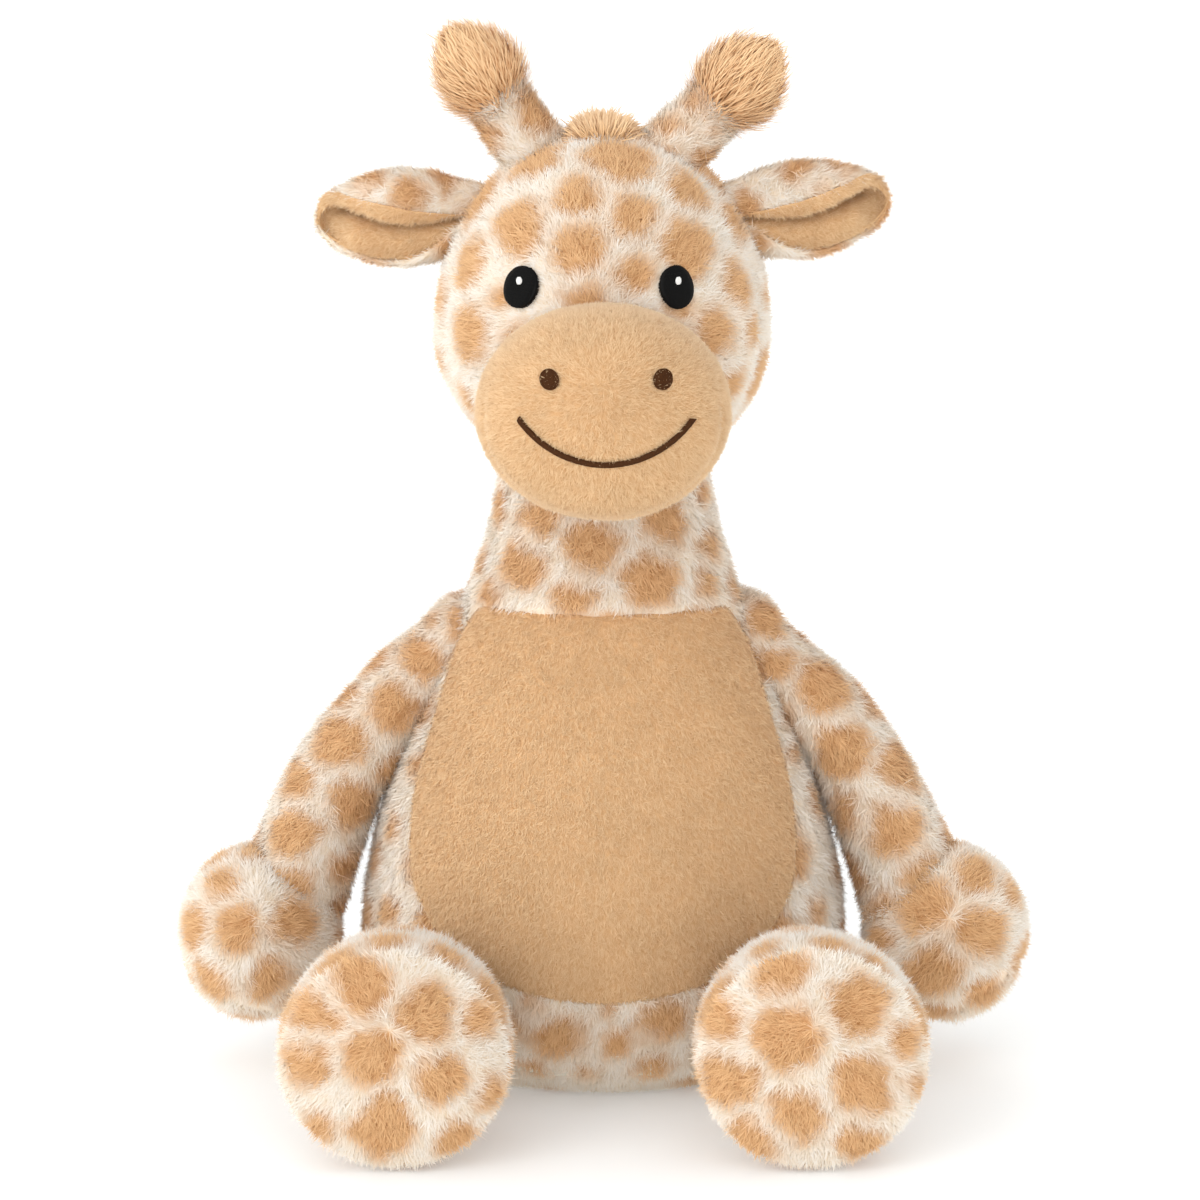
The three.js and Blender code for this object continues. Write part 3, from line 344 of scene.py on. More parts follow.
def strand_group():
    """Strands scattered on a skin, leaning along its comb, gathered in locks and clipped at the ground."""
    t, given = new_group("pile", strand="Object", material="Material", per_area="Float", length="Float", width="Float",
                         stray="Float", lock="Float", pull="Float", tuft="Float", seed="Int", floor="Float")

    def named(name, kind="FLOAT"):
        return t.node("GeometryNodeInputNamedAttribute", {"data_type": kind}, {"Name": name})

    def stray(step):
        inputs = {0: (-1, -1, -1), 1: (1, 1, 1), "Seed": given("seed") + step}
        return t.node("FunctionNodeRandomValue", {"data_type": "FLOAT_VECTOR"}, inputs)

    def patches(size, out):
        inputs = {"Vector": place, "Scale": 1 / given(size), "Detail": 1.0}
        return t.node("ShaderNodeTexNoise", None, inputs, out)

    def store(geometry, name, value, kind="FLOAT"):
        settings = {"data_type": kind, "domain": "POINT"}
        return t.node("GeometryNodeStoreNamedAttribute", settings, {"Geometry": geometry, "Name": name, "Value": value})

    scatter = t.add("GeometryNodeDistributePointsOnFaces", None, {
        "Mesh": given("geometry"), "Density": given("per_area") * named("cover"), "Seed": given("seed")})
    normal = Link(t, scatter.outputs["Normal"])
    place = t.node("GeometryNodeInputPosition")
    lock = t.scaled(t.vector("SUBTRACT", patches("lock", "Color"), (0.5, 0.5, 0.5)), given("pull"))
    heading = t.vector("ADD", t.vector("ADD", named("comb", "FLOAT_VECTOR"), lock), t.scaled(stray(1), given("stray")))
    tipped = t.vector("ADD", normal, t.scaled(lock, LOCK_TIP))
    upright = t.vector("ADD", tipped, t.scaled(stray(2), given("stray") * STRAY_TIP))
    turn = t.node("FunctionNodeAxesToRotation", {"primary_axis": "Z", "secondary_axis": "X"},
                  {"Primary Axis": upright, "Secondary Axis": heading})
    shade = t.node("FunctionNodeRandomValue", {"data_type": "FLOAT"}, {2: 0.0, 3: 1.0, "Seed": given("seed") + 3}, 1)
    tuft = patches("tuft", 0)
    length = given("length") * named("length")
    for value, (slope, start) in ((shade, LENGTH_BY_SHADE), (tuft, LENGTH_BY_TUFT)):
        length = length * (value * slope + start)
    size = t.node("ShaderNodeCombineXYZ", None, {0: length, 1: given("width"), 2: length})
    strand = t.node("GeometryNodeObjectInfo", None, {"Object": given("strand")}, "Geometry")
    # A strand's painted tone: its own random tone, and the painted shade of its tuft
    lit = shade * SHADE_OWN + tuft * SHADE_BY_TUFT[0] - SHADE_BY_TUFT[1]
    points = store(Link(t, scatter.outputs["Points"]), "shade", lit)
    points = store(points, "skin_normal", normal, "FLOAT_VECTOR")
    inputs = {"Points": points, "Instance": strand, "Rotation": turn, "Scale": size}
    pile = t.node("GeometryNodeRealizeInstances", None, {0: t.node("GeometryNodeInstanceOnPoints", None, inputs)})
    x, y, z = (Link(t, socket) for socket in t.add("ShaderNodeSeparateXYZ", None, {0: place}).outputs)
    height = t.node("ShaderNodeMath", {"operation": "MAXIMUM"}, {0: z, 1: given("floor")})
    settled = t.node("ShaderNodeCombineXYZ", None, {0: x, 1: y, 2: height})
    joined = t.add("GeometryNodeJoinGeometry")
    for part in (t.node("GeometryNodeSetPosition", None, {"Geometry": pile, "Position": settled}), given("geometry")):
        t.tree.links.new(part.socket, joined.inputs[0])
    dressed = {"Geometry": Link(t, joined.outputs[0]), "Material": given("material")}
    t.add("NodeGroupOutput", None, {0: t.node("GeometryNodeSetMaterial", None, dressed)})


def stitch_group():
    """Turns drawn threads into round yarn."""
    t, given = new_group("stitches", thread="Float", material="Material")
    lines = t.node("GeometryNodeMeshToCurve", None, {0: given("geometry")})
    profile = t.node("GeometryNodeCurvePrimitiveCircle", None, {"Resolution": 6, "Radius": given("thread")})
    yarn = t.node("GeometryNodeCurveToMesh", None, {"Curve": lines, "Profile Curve": profile, "Fill Caps": True})
    whole = t.node("GeometryNodeRealizeInstances", None, {0: t.node("GeometryNodeSetShadeSmooth", None, {0: yarn})})
    dressed = {"Geometry": whole, "Material": given("material")}
    t.add("NodeGroupOutput", None, {0: t.node("GeometryNodeSetMaterial", None, dressed)})


def bake(made, group=None, **values):
    """Turns what a node group or a piece's modifiers make of it into its own mesh."""
    if group:
        modifier = made.modifiers.new(group, "NODES")
        modifier.node_group = bpy.data.node_groups[group]
        for item in modifier.node_group.interface.items_tree:
            if item.in_out == "INPUT" and item.name in values:
                modifier[item.identifier] = values[item.name]
        made.update_tag()
    mesh = bpy.data.meshes.new_from_object(made.evaluated_get(bpy.context.evaluated_depsgraph_get()))
    made.modifiers.clear()
    made.data = mesh


# Soft forms
def xyz(x, y, z):
    return np.stack(np.broadcast_arrays(x, y, z), -1)


def corners(node):
    low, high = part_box(node)
    return np.array(low), np.array(high)


def middle(node):
    low, high = corners(node)
    return (low + high) / 2


def eased(stations, shares, count, passes=3):
    """A table of shares drawn as a smooth run of count values."""
    at = np.linspace(stations[0], stations[-1], count)
    values = np.interp(at, stations, shares)
    reach = max(2, count // (len(stations) * 2))
    for _ in range(passes):
        padded = np.concatenate([2 * values[0] - values[reach:0:-1], values, 2 * values[-1] - values[-2:-reach - 2:-1]])
        sums = np.cumsum(np.insert(padded, 0, 0))
        values = (sums[2 * reach + 1:] - sums[:-2 * reach - 1]) / (2 * reach + 1)
    return at, values


def round_grid(centres, wide, deep, sides, back=None):
    """Rings of points about a run of centres; back is the reach on the far side of deep, where it differs."""
    back = deep if back is None else back
    turn = np.linspace(0, 2 * np.pi, sides, endpoint=False)
    cos, sin = np.cos(turn)[None, :, None], np.sin(turn)[None, :, None]
    reach = np.where(sin >= 0, deep[:, None, :], back[:, None, :])
    return centres[:, None, :] + cos * wide[:, None, :] + sin * reach


def new_object(name, points, faces, edges=(), linked=True):
    mesh = bpy.data.meshes.new(name)
    mesh.from_pydata([tuple(p) for p in points], edges, faces)
    made = bpy.data.objects.new(name, mesh)
    if linked:
        bpy.context.scene.collection.objects.link(made)
    return made


def closed(name, points, faces):
    """A smooth closed piece with its faces turned outward."""
    made = new_object(name, points, faces)
    shape = bmesh.new()
    shape.from_mesh(made.data)
    bmesh.ops.recalc_face_normals(shape, faces=shape.faces)
    shape.to_mesh(made.data)
    shape.free()
    made.data.shade_smooth()
    return made


def skin(name, grid, start, end):
    """A closed piece from rings of points with a pole at each end."""
    rings, sides = grid.shape[:2]
    last = rings * sides + 1
    faces = []
    for i in range(sides):
        j = (i + 1) % sides
        faces += [(0, 1 + j, 1 + i), (last, last - sides + i, last - sides + j)]
        faces += [(a + i, a + j, a + sides + j, a + sides + i) for a in range(1, last - sides, sides)]
    return closed(name, [start, *grid.reshape(-1, 3), end], faces)


def sheet(name, upper, lower):
    """A closed piece between two grids of points."""
    rows, columns = upper.shape[:2]
    step = rows * columns
    faces = []
    for r in range(rows - 1):
        for c in range(columns - 1):
            a = r * columns + c
            quad = (a, a + 1, a + columns + 1, a + columns)
            faces += [quad, tuple(step + i for i in reversed(quad))]
    numbers = np.arange(step).reshape(rows, columns)
    rim = [*numbers[0], *numbers[1:, -1], *numbers[-1, -2::-1], *numbers[-2:0:-1, 0]]
    faces += [(b, a, step + a, step + b) for a, b in zip(rim, rim[1:] + rim[:1])]
    return closed(name, np.concatenate([upper.reshape(-1, 3), lower.reshape(-1, 3)]), faces)


def read(elements, field, width=3):
    """One field of all elements, as rows of numbers."""
    out = np.empty(len(elements) * width, np.float32)
    elements.foreach_get(field, out)
    return out.reshape(-1, width)


def points_of(made):
    return read(made.data.vertices, "co").astype(float)


def normals_of(made):
    return read(made.data.vertex_normals, "vector").astype(float)


def move(made, points):
    made.data.vertices.foreach_set("co", points.astype(np.float32).ravel())
    made.data.update()


def give(made, name, values):
    """Sets one value or vector on each point."""
    kind, field = ("FLOAT_VECTOR", "vector") if values.ndim == 2 else ("FLOAT", "value")
    attribute = made.data.attributes.get(name) or made.data.attributes.new(name, kind, "POINT")
    attribute.data.foreach_set(field, values.astype(np.float32).ravel())


def give_first(made, count):
    """Pile on the first points of a piece only."""
    give(made, "cover", (np.arange(len(made.data.vertices)) < count).astype(float))


def wobble(points, size, seed):
    """Smooth noise from -1 to 1 at each point."""
    shift = Vector((seed * 7.3, seed * 3.1, seed * 5.7))
    return np.array([noise.noise(Vector(p) / size + shift) for p in points])


def wobbles(points, size, seed):
    return np.stack([wobble(points, size, seed + k) for k in range(3)], 1)


def lumps(made, size, depth, seed):
    """The uneven stuffing under the cloth."""
    points = points_of(made)
    move(made, points + normals_of(made) * (wobble(points, size, seed) * depth)[:, None])


def ease_step(values, low, high):
    share = np.clip((values - low) / (high - low), 0, 1)
    return share * share * (3 - 2 * share)


def gap_to(points, others):
    """Least distance from each point to a set of others."""
    out = np.full(len(points), 1e9)
    for start in range(0, len(points), 4096):
        part = points[start:start + 4096, None, :] - others[None, :, :]
        out[start:start + 4096] = np.sqrt((part ** 2).sum(-1)).min(1)
    return out


def press_seam(made, line, depth, width, seed=1):
    """Draws the cloth in along a sewn line, with small puckers beside it."""
    points = points_of(made)
    gap = gap_to(points, line)
    pucker = 1 + 0.35 * wobble(points, 9 * MM, seed)
    fall = np.exp(-(gap / width) ** 2) * depth * pucker
    move(made, points - normals_of(made) * fall[:, None])


def blown_up(made, seam, voxel):
    """The points of a coarse copy of a skin before and after its cloth is blown up and its seams draw in."""
    scene = bpy.context.scene
    coarse = bpy.data.objects.new(made.name + "_cloth", made.data.copy())
    scene.collection.objects.link(coarse)
    remesh = coarse.modifiers.new("even", "REMESH")
    remesh.mode, remesh.voxel_size = "VOXEL", voxel
    bake(coarse)
    before = points_of(coarse)
    coarse.vertex_groups.new(name="held").add(list(range(len(before))), FILLING_HOLD, "REPLACE")
    sewn = coarse.vertex_groups.new(name="sewn")
    for i, pull in enumerate(np.exp(-(gap_to(before, seam) / SEAM_REACH) ** 2)):
        sewn.add([i], float(pull), "REPLACE")
    cloth = coarse.modifiers.new("cloth", "CLOTH")
    ways = cloth.settings
    ways.quality, ways.mass, ways.air_damping = 6, 0.2, 2.0
    ways.tension_stiffness = ways.compression_stiffness = 15
    ways.bending_stiffness = 0.2
    ways.use_pressure, ways.uniform_pressure_force = True, CLOTH_PRESSURE
    ways.vertex_group_mass, ways.pin_stiffness = "held", FILLING_STIFFNESS
    ways.vertex_group_shrink, ways.shrink_max = "sewn", SEAM_SHRINK
    ways.effector_weights.gravity = 0
    cloth.collision_settings.use_collision = False
    cloth.point_cache.frame_end = CLOTH_FRAMES
    for step in range(1, CLOTH_FRAMES + 1):
        scene.frame_set(step)
    shape = coarse.evaluated_get(bpy.context.evaluated_depsgraph_get()).to_mesh()
    after = read(shape.vertices, "co").astype(float)
    bpy.data.objects.remove(coarse)
    scene.frame_set(1)
    return before, after


def settle(made, seam, voxel=4.5 * MM):
    """The skin follows its simulated cloth, without the growth that all of it shares."""
    before, after = blown_up(made, seam, voxel)
    moves = after - before
    tree = KDTree(len(before))
    for i, point in enumerate(before):
        tree.insert(point, i)
    tree.balance()
    points, normals = points_of(made), normals_of(made)
    found = [tree.find_n(point, 5) for point in points]
    weights = np.array([[1 / (gap + 1 * MM) ** 2 for _, _, gap in near] for near in found])
    weights /= weights.sum(1)[:, None]
    shift = (moves[[[i for _, i, _ in near] for near in found]] * weights[:, :, None]).sum(1)
    shift -= shift.mean(0)
    shift -= normals * (shift * normals).sum(1).mean()
    size = np.linalg.norm(shift, axis=1)
    move(made, points + shift * (np.tanh(size / SWELL_CAP) * SWELL_CAP / np.maximum(size, 1e-9))[:, None])


# Camera and light
def make_camera():
    camera = bpy.data.objects.new("camera", bpy.data.cameras.new("camera"))
    bpy.context.scene.collection.objects.link(camera)
    camera.location = VIEW_TARGET + VIEW_AWAY * VIEW_DISTANCE
    camera.rotation_euler = VIEW_AWAY.to_track_quat("Z", "Y").to_euler()
    camera.data.lens = VIEW_LENS
    camera.data.shift_x = VIEW_SHIFT
    camera.data.clip_end = 100
    bpy.context.scene.camera = camera


def photo_ray(across, down):
    """The line of sight through a place in the photograph, counted from its top left corner."""
    up = Vector((0, math.sin(VIEW_RISE), math.cos(VIEW_RISE)))
    sensor = 36 / VIEW_LENS
    x = ((across - PHOTO_SIZE / 2) / PHOTO_SIZE + VIEW_SHIFT) * sensor
    y = (PHOTO_SIZE / 2 - down) / PHOTO_SIZE * sensor
    return VIEW_TARGET + VIEW_AWAY * VIEW_DISTANCE, (Vector((x, 0, 0)) + up * y - VIEW_AWAY).normalized()


def make_light():
    scene = bpy.context.scene
    scene.view_settings.view_transform = "Standard"
    world = bpy.data.worlds.new("studio")
    world.use_nodes = True
    scene.world = world
    room = Tree(world.node_tree)
    room.tree.nodes.clear()
    seen, glossy, clear = (room.node("ShaderNodeLightPath", out=f"Is {ray} Ray")
                           for ray in ("Camera", "Glossy", "Transmission"))
    seen = room.node("ShaderNodeMath", {"operation": "MINIMUM"}, {0: seen + glossy + clear, 1: 1.0})
    inputs = {"Color": room.mix(seen, WARM, WHITE), "Strength": seen * (1 - AMBIENT) + AMBIENT}
    room.add("ShaderNodeOutputWorld", None, {"Surface": room.node("ShaderNodeBackground", None, inputs)})
    for name, strength, angle, rise, turn in SUNS:
        lamp = bpy.data.lights.new(name, "SUN")
        lamp.energy, lamp.angle, lamp.color = strength, math.radians(angle), WARM[:3]
        holder = bpy.data.objects.new(name, lamp)
        holder.rotation_euler = (math.radians(90 - rise), 0, math.radians(turn))
        scene.collection.objects.link(holder)


def make_floor():
    half = FLOOR_SIZE / 2
    floor = new_object("floor", [(-half, -half, 0), (half, -half, 0), (half, half, 0), (-half, half, 0)], [range(4)])
    cloth = Cloth("floor_paper", Roughness=0.9, Emission_Strength=FLOOR_GLOW)
    seen = cloth.node("ShaderNodeLightPath", out="Is Camera Ray")
    floor.data.materials.append(cloth.feed(Base_Color=cloth.mix(seen, BOUNCE_TONE, FLOOR_TONE),
                                           Emission_Color=cloth.mix(seen, BOUNCE_GLOW, WHITE)))


# Pile
def blade_mesh(name, spine, widths):
    """One strand in X and Z, pointed at both ends, with its share of the length on each point."""
    run = [0.0]
    for (x0, z0), (x1, z1) in zip(spine, spine[1:]):
        run.append(run[-1] + math.hypot(x1 - x0, z1 - z0))
    points, along = [(spine[0][0], 0, spine[0][1])], [0.0]
    for (x, z), width, at in zip(spine[1:-1], widths, run[1:]):
        points += [(x, -width / 2, z), (x, width / 2, z)]
        along += [at / run[-1]] * 2
    points.append((spine[-1][0], 0, spine[-1][1]))
    last = len(points) - 1
    faces = [(0, 1, 2)] + [(i, i + 2, i + 3, i + 1) for i in range(1, last - 2, 2)] + [(last - 2, last, last - 1)]
    made = new_object(name, points, faces, linked=False)
    give(made, "along", np.array(along + [1.0]))
    return made


def fibre_mesh(name, reach, rise):
    """The smallest strand: one long triangle that leans as it rises."""
    made = new_object(name, [(0, 0.5, 0), (0, -0.5, 0), (reach, 0, rise)], [(0, 1, 2)], linked=False)
    give(made, "along", np.array([0.0, 0.0, 1.0]))
    return made


def fanned(way, spread, centre=(0, 0, 0)):
    """A flow that spreads from a centre."""
    return lambda points: way + (points - centre) * spread


def comb_by(made, flow):
    """Lays the comb along a direction or a flow, flat on the skin."""
    points, normals = points_of(made), normals_of(made)
    way = flow(points) if callable(flow) else flow
    way = way - normals * (way * normals).sum(1)[:, None]
    size = np.linalg.norm(way, axis=1)[:, None]
    give(made, "comb", way / np.maximum(size, 1e-9))


bare, seen_on = {}, {}  # the trees of the bare skins, and the spots seen on each


def tree_of(made):
    if made.name in bare:
        return bare[made.name]
    return BVHTree.FromPolygons([tuple(p) for p in points_of(made)], [tuple(f.vertices) for f in made.data.polygons])


def clearance(points, made, thin=False):
    """How far each point is outside a skin, negative inside it; a thin sheet has no inside."""
    tree = tree_of(made)
    out = np.empty(len(points))
    for i, p in enumerate(points):
        near, normal, _, gap = tree.find_nearest(Vector(p))
        out[i] = gap if thin or (Vector(p) - near).dot(normal) > 0 else -gap
    return out


def veil(made, others, start=-2.5 * MM, end=-1.0 * MM):
    """No pile where a skin is buried in others."""
    cover = np.ones(len(made.data.vertices))
    points = points_of(made)
    for other in others:
        cover *= ease_step(clearance(points, other), start, end)
    return cover


def tuck(made, others, start=-3.0 * MM, end=-0.8 * MM):
    """Gives short pile where a skin is buried in limbs that can move away from it, and its cover, bare only deep in."""
    give(made, "length", BURIED_LENGTH + (1 - BURIED_LENGTH) * veil(made, others, start, end))
    return veil(made, others, BURIED_BARE, BURIED_BARE + 4 * MM)


def find_seen_spots(skins):
    """Shares the spots of the photograph out to the skins on which they lie."""
    bare.update({made.name: tree_of(made) for made in skins})
    for across, down, radius in [(x, y, r * growth) for spots, growth in SEEN_SPOTS for x, y, r in spots]:
        origin, way = photo_ray(across, down)
        best = None
        for name, tree in bare.items():
            hit, _, _, gap = tree.ray_cast(origin, way)
            if hit and (best is None or gap < best[0]):
                best = (gap, name, np.array(hit))
        if best:
            seen_on.setdefault(best[1], []).append((best[2], radius * SPOT_POINT))


def print_spots(made, seed):
    """Prints spots: the ones seen in the photograph first, then others a step apart over the rest."""
    points = points_of(made)
    seen = seen_on.get(made.name, [])
    centres = [place for place, _ in seen]
    fixed = len(centres)
    order = np.random.default_rng(seed).permutation(len(points))
    for closeness in SPOT_CROWDING:
        for i in order:
            if not centres or np.min(np.linalg.norm(np.array(centres) - points[i], axis=1)) > SPOT_STEP * closeness:
                centres.append(points[i])
    centres = np.array(centres)
    sizes = np.array([size for _, size in seen] + [SPOT_RADIUS] * (len(centres) - fixed))
    for _ in range(SPOT_ROUNDS):
        nearest = np.argmin(np.linalg.norm(points[:, None, :] - centres[None], axis=2), axis=1)
        for k in range(fixed, len(centres)):
            if (nearest == k).any():
                centres[k] = points[nearest == k].mean(0)
    tips = points + read(made.data.attributes["comb"].data, "vector") * PLUSH["length"] * PLUSH_LEAN
    for size, reach, step in SPOT_WARPS:
        tips = tips + wobbles(points, size, seed + step) * reach
    gaps = np.linalg.norm(tips[:, None, :] - centres[None], axis=2) - sizes[None]
    gaps.sort(axis=1)
    inside = np.minimum((gaps[:, 1] - gaps[:, 0]) / 2 - SPOT_GAP / 2, -gaps[:, 0])
    give(made, "spot", ease_step(inside, -SPOT_EDGE, SPOT_EDGE))


def dress(made, body, slot, node):
    """Attaches the finished piece to the body it rides on and hides the part of the frame that it stands for. slot is
    not used.
    """
    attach(made, body)
    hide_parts(node)


def coat(made, cloth, seed, body, node, flow, longer=1.0, strand=None):
    """Combs and prints a skin, grows its pile and dresses it."""
    comb_by(made, flow)
    slot, pile, own_strand, material = cloth
    if pile is PLUSH:
        print_spots(made, seed)
    give(made, "skin_normal", normals_of(made))
    # Bare skin between the strands is painted partly in the root colour, as painted shade
    for name, value in (("along", 0.0), ("shade", SKIN_SHADE), ("spot", 0.0), ("cover", 1.0), ("length", 1.0)):
        if name not in made.data.attributes:
            give(made, name, np.full(len(made.data.vertices), value))
    bake(made, "pile", **{**pile, "length": pile["length"] * longer}, strand=strand or own_strand, material=material,
         seed=seed, floor=FLOOR_LIFT)
    dress(made, body, slot, node)


# The skins
pivots = {joint["name"]: np.array(joint["pos_m"]) for joint in frame["joints"] if "pos_m" in joint}
_, body_high = corners("body_cover")
head_low, head_high = corners("head")
muzzle_low, muzzle_high = corners("muzzle")
tummy_low, tummy_high = corners("tummy_panel")
BODY_HEIGHT = head_low[2] + HEAD_OVER_NECK
BELLY = -tummy_low[1]
HEAD_HEIGHT = head_high[2] - head_low[2]


def make_torso_skin():
    """The pear of the body with its neck, pinched in to the seam with the head and dished under it."""
    rise, width = eased(BODY_RISE, BODY_WIDTH, 100)
    _, front = eased(BODY_RISE, BODY_FRONT, 100)
    _, back = eased(BODY_RISE, BODY_BACK, 100)
    turn = np.linspace(0, 2 * np.pi, TORSO_SIDES, endpoint=False)

    def ring(z, pinch=0.0):
        share = z / BODY_HEIGHT
        wide = np.interp(share, rise, width) * body_high[0] - PLUSH_RISE - pinch
        reach = np.where(turn < np.pi, np.interp(share, rise, back) * body_high[1],
                         np.interp(share, rise, front) * BELLY) - PLUSH_RISE - pinch
        return xyz(np.cos(turn) * wide, np.sin(turn) * reach, z)

    def dish(reach):
        share = np.interp(reach / head_high[0], HEAD_SIZE[:5], HEAD_RISE[:5])
        return head_low[2] + HEAD_HEIGHT * share - DISH_DEPTH

    rim = np.full(TORSO_SIDES, BODY_HEIGHT)
    for _ in range(8):
        rim = dish(np.hypot(*ring(rim, NECK_PINCH)[:, :2].T))
    base = ring(np.full(TORSO_SIDES, SOLE_LIFT))
    shares = np.linspace(0, 1, 12, endpoint=False)[1:]
    floor = [base * [s, s, 1] for s in shares]
    wall = [ring(np.maximum(t * rim, SOLE_LIFT), NECK_PINCH * ease_step(t, 0.955, 1.0) ** 2)
            for t in np.linspace(0, 1, 104)]
    bowl = []
    for s in np.linspace(1, 0, 12, endpoint=False)[1:]:
        spot = wall[-1] * [s, s, 0]
        bowl.append(spot + xyz(0, 0, dish(np.hypot(spot[:, 0], spot[:, 1]))))
    torso = skin("torso_plush", np.array(floor + wall + bowl), (0, 0, SOLE_LIFT), (0, 0, dish(0.0)))
    lumps(torso, 45 * MM, 1.0 * MM, 3)
    return torso


def in_dish(points):
    """Where the torso's skin lies under the head: 1 there and 0 on its outside."""
    share = np.hypot(points[:, 0] / (BODY_WIDTH[-1] * body_high[0]), points[:, 1] / (BODY_BACK[-1] * body_high[1]))
    return np.where(points[:, 2] > head_low[2] - 3 * MM, 1 - ease_step(share, 0.8, 0.86), 0)


def cut_zip_slot(torso):
    """Opens the base round the zip."""
    low, high = corners("zip_tape")
    margin = np.array([0.35, 0.35, 0.3]) * MM
    size = high - low + 2 * margin
    size[2] = high[2] + margin[2] + 5 * MM
    bpy.ops.mesh.primitive_cube_add(size=1)
    block = bpy.context.object
    block.scale = size
    block.location = (*(low + high)[:2] / 2, high[2] + margin[2] - size[2] / 2)
    modifier = torso.modifiers.new("slot", "BOOLEAN")
    modifier.operation, modifier.object, modifier.solver = "DIFFERENCE", block, "EXACT"
    bake(torso)
    torso.data.shade_smooth()
    bpy.data.objects.remove(block)


def tummy_outline(margin, count=160):
    """The middle and edge of the tummy panel in X and Z, right side then left."""
    run = np.linspace(0, 1, len(TUMMY_RISE))
    fine = np.linspace(0, 1, count // 2)
    z = tummy_low[2] + np.interp(fine, run, TUMMY_RISE) * (tummy_high[2] - tummy_low[2])
    right = np.stack([np.interp(fine, run, TUMMY_WIDTH) * tummy_high[0], z], 1)
    ring = np.concatenate([right, right[::-1] * [-1, 1]])
    centre = np.array([0, (tummy_low[2] + tummy_high[2]) / 2])
    for _ in range(3):
        ring = (np.roll(ring, 1, 0) + ring * 2 + np.roll(ring, -1, 0)) / 4
    return centre, ring + (ring - centre) / np.linalg.norm(ring - centre, axis=1)[:, None] * margin


def beyond_tummy(points):
    """How far each point lies outside the edge of the tummy panel, seen from the front."""
    centre, ring = tummy_outline(0)
    flat, edge = points[:, [0, 2]] - centre, ring - centre
    turn = np.arctan2(edge[:, 1], edge[:, 0])
    order = np.argsort(turn)
    reach = np.interp(np.arctan2(flat[:, 1], flat[:, 0]), turn[order], np.linalg.norm(edge, axis=1)[order],
                      period=2 * np.pi)
    return np.where(points[:, 1] < 0, np.linalg.norm(flat, axis=1) - reach, 1.0)


def front_of(made):
    """Where a line along +Y meets a skin, as a function of X and Z."""
    tree = tree_of(made)

    def at(x, z):
        hit, normal, _, _ = tree.ray_cast(Vector((x, -1, z)), Vector((0, 1, 0)))
        return np.array(hit), np.array(normal)
    return at


def make_tummy_skin(front):
    """A velour patch that swells between its turned-in edges."""
    centre, ring = tummy_outline(-0.2 * MM)
    rest = PLUSH_RISE - VELOUR_RISE
    outer, inner = [], []
    for s in np.linspace(0, 1, 34)[1:] ** 0.8:
        lift = rest - TUMMY_RIM * (1 - math.sqrt(max(0.0, 1 - s ** 10)))
        hits = [front(x, z) for x, z in centre + (ring - centre) * s]
        outer.append([hit + normal * lift for hit, normal in hits])
        inner.append([hit - normal * TUMMY_BACK for hit, normal in hits])
    hit, normal = front(*centre)
    tummy = skin("tummy_velour", np.array(outer + inner[::-1]), hit + normal * rest, hit - normal * TUMMY_BACK)
    line = np.array([front(0, z)[0] + [0, -rest, 0] for z in np.linspace(tummy_low[2], tummy_high[2], 90)])
    press_seam(tummy, line, 0.3 * MM, 1.6 * MM, 4)
    give_first(tummy, 1 + (len(outer) - 1) * len(ring))
    return tummy


def make_head_skin():
    """The round head, a little deeper behind than in front."""
    rise, size = eased(HEAD_RISE, HEAD_SIZE, 84, 2)
    rise, size = rise[1:-1], np.clip(size, 0.03, None)[1:-1]
    z = head_low[2] + PLUSH_RISE + rise * (HEAD_HEIGHT - 2 * PLUSH_RISE)
    grid = round_grid(xyz(0, 0, z), xyz(size * (head_high[0] - PLUSH_RISE), 0, 0),
                      xyz(0, size * (head_high[1] - PLUSH_RISE), 0), 110,
                      xyz(0, size * (-head_low[1] - PLUSH_RISE), 0))
    head = skin("head_plush", grid, (0, 0, head_low[2] + PLUSH_RISE), (0, 0, head_high[2] - PLUSH_RISE))
    lumps(head, 40 * MM, 1.0 * MM, 5)
    return head


def make_muzzle_skin():
    """The oval muzzle with its seam low round the front."""
    along, size = eased(MUZZLE_ALONG, MUZZLE_SIZE, 70, 2)
    along, size = along[:-1], np.clip(size, 0.03, None)[:-1]
    y = muzzle_low[1] + VELOUR_RISE + (MUZZLE_LENGTH - VELOUR_RISE) * (1 - along)
    centres = xyz(0, y, head_low[2] + MUZZLE_RISE - MUZZLE_DROOP * along)
    wide, deep = xyz(size * (MUZZLE_HALF[0] - VELOUR_RISE), 0, 0), xyz(0, 0, size * (MUZZLE_HALF[1] - VELOUR_RISE))
    muzzle = skin("muzzle_velour", round_grid(centres, wide, deep, 100), centres[0], centres[-1] + [0, -0.2 * MM, 0])
    lumps(muzzle, 30 * MM, 0.6 * MM, 6)
    at = int(len(along) * MUZZLE_SEAM)
    turn = np.radians(np.linspace(*MUZZLE_SEAM_TURNS, 120))[:, None]
    line = centres[at] + np.cos(turn) * wide[at] + np.sin(turn) * deep[at]
    settle(muzzle, line, 4 * MM)
    press_seam(muzzle, line, 1.5 * MM, 1.3 * MM, 7)
    give(muzzle, "length", 0.35 + 0.65 * ease_step(gap_to(points_of(muzzle), line), 0.6 * MM, 2.2 * MM))
    return muzzle


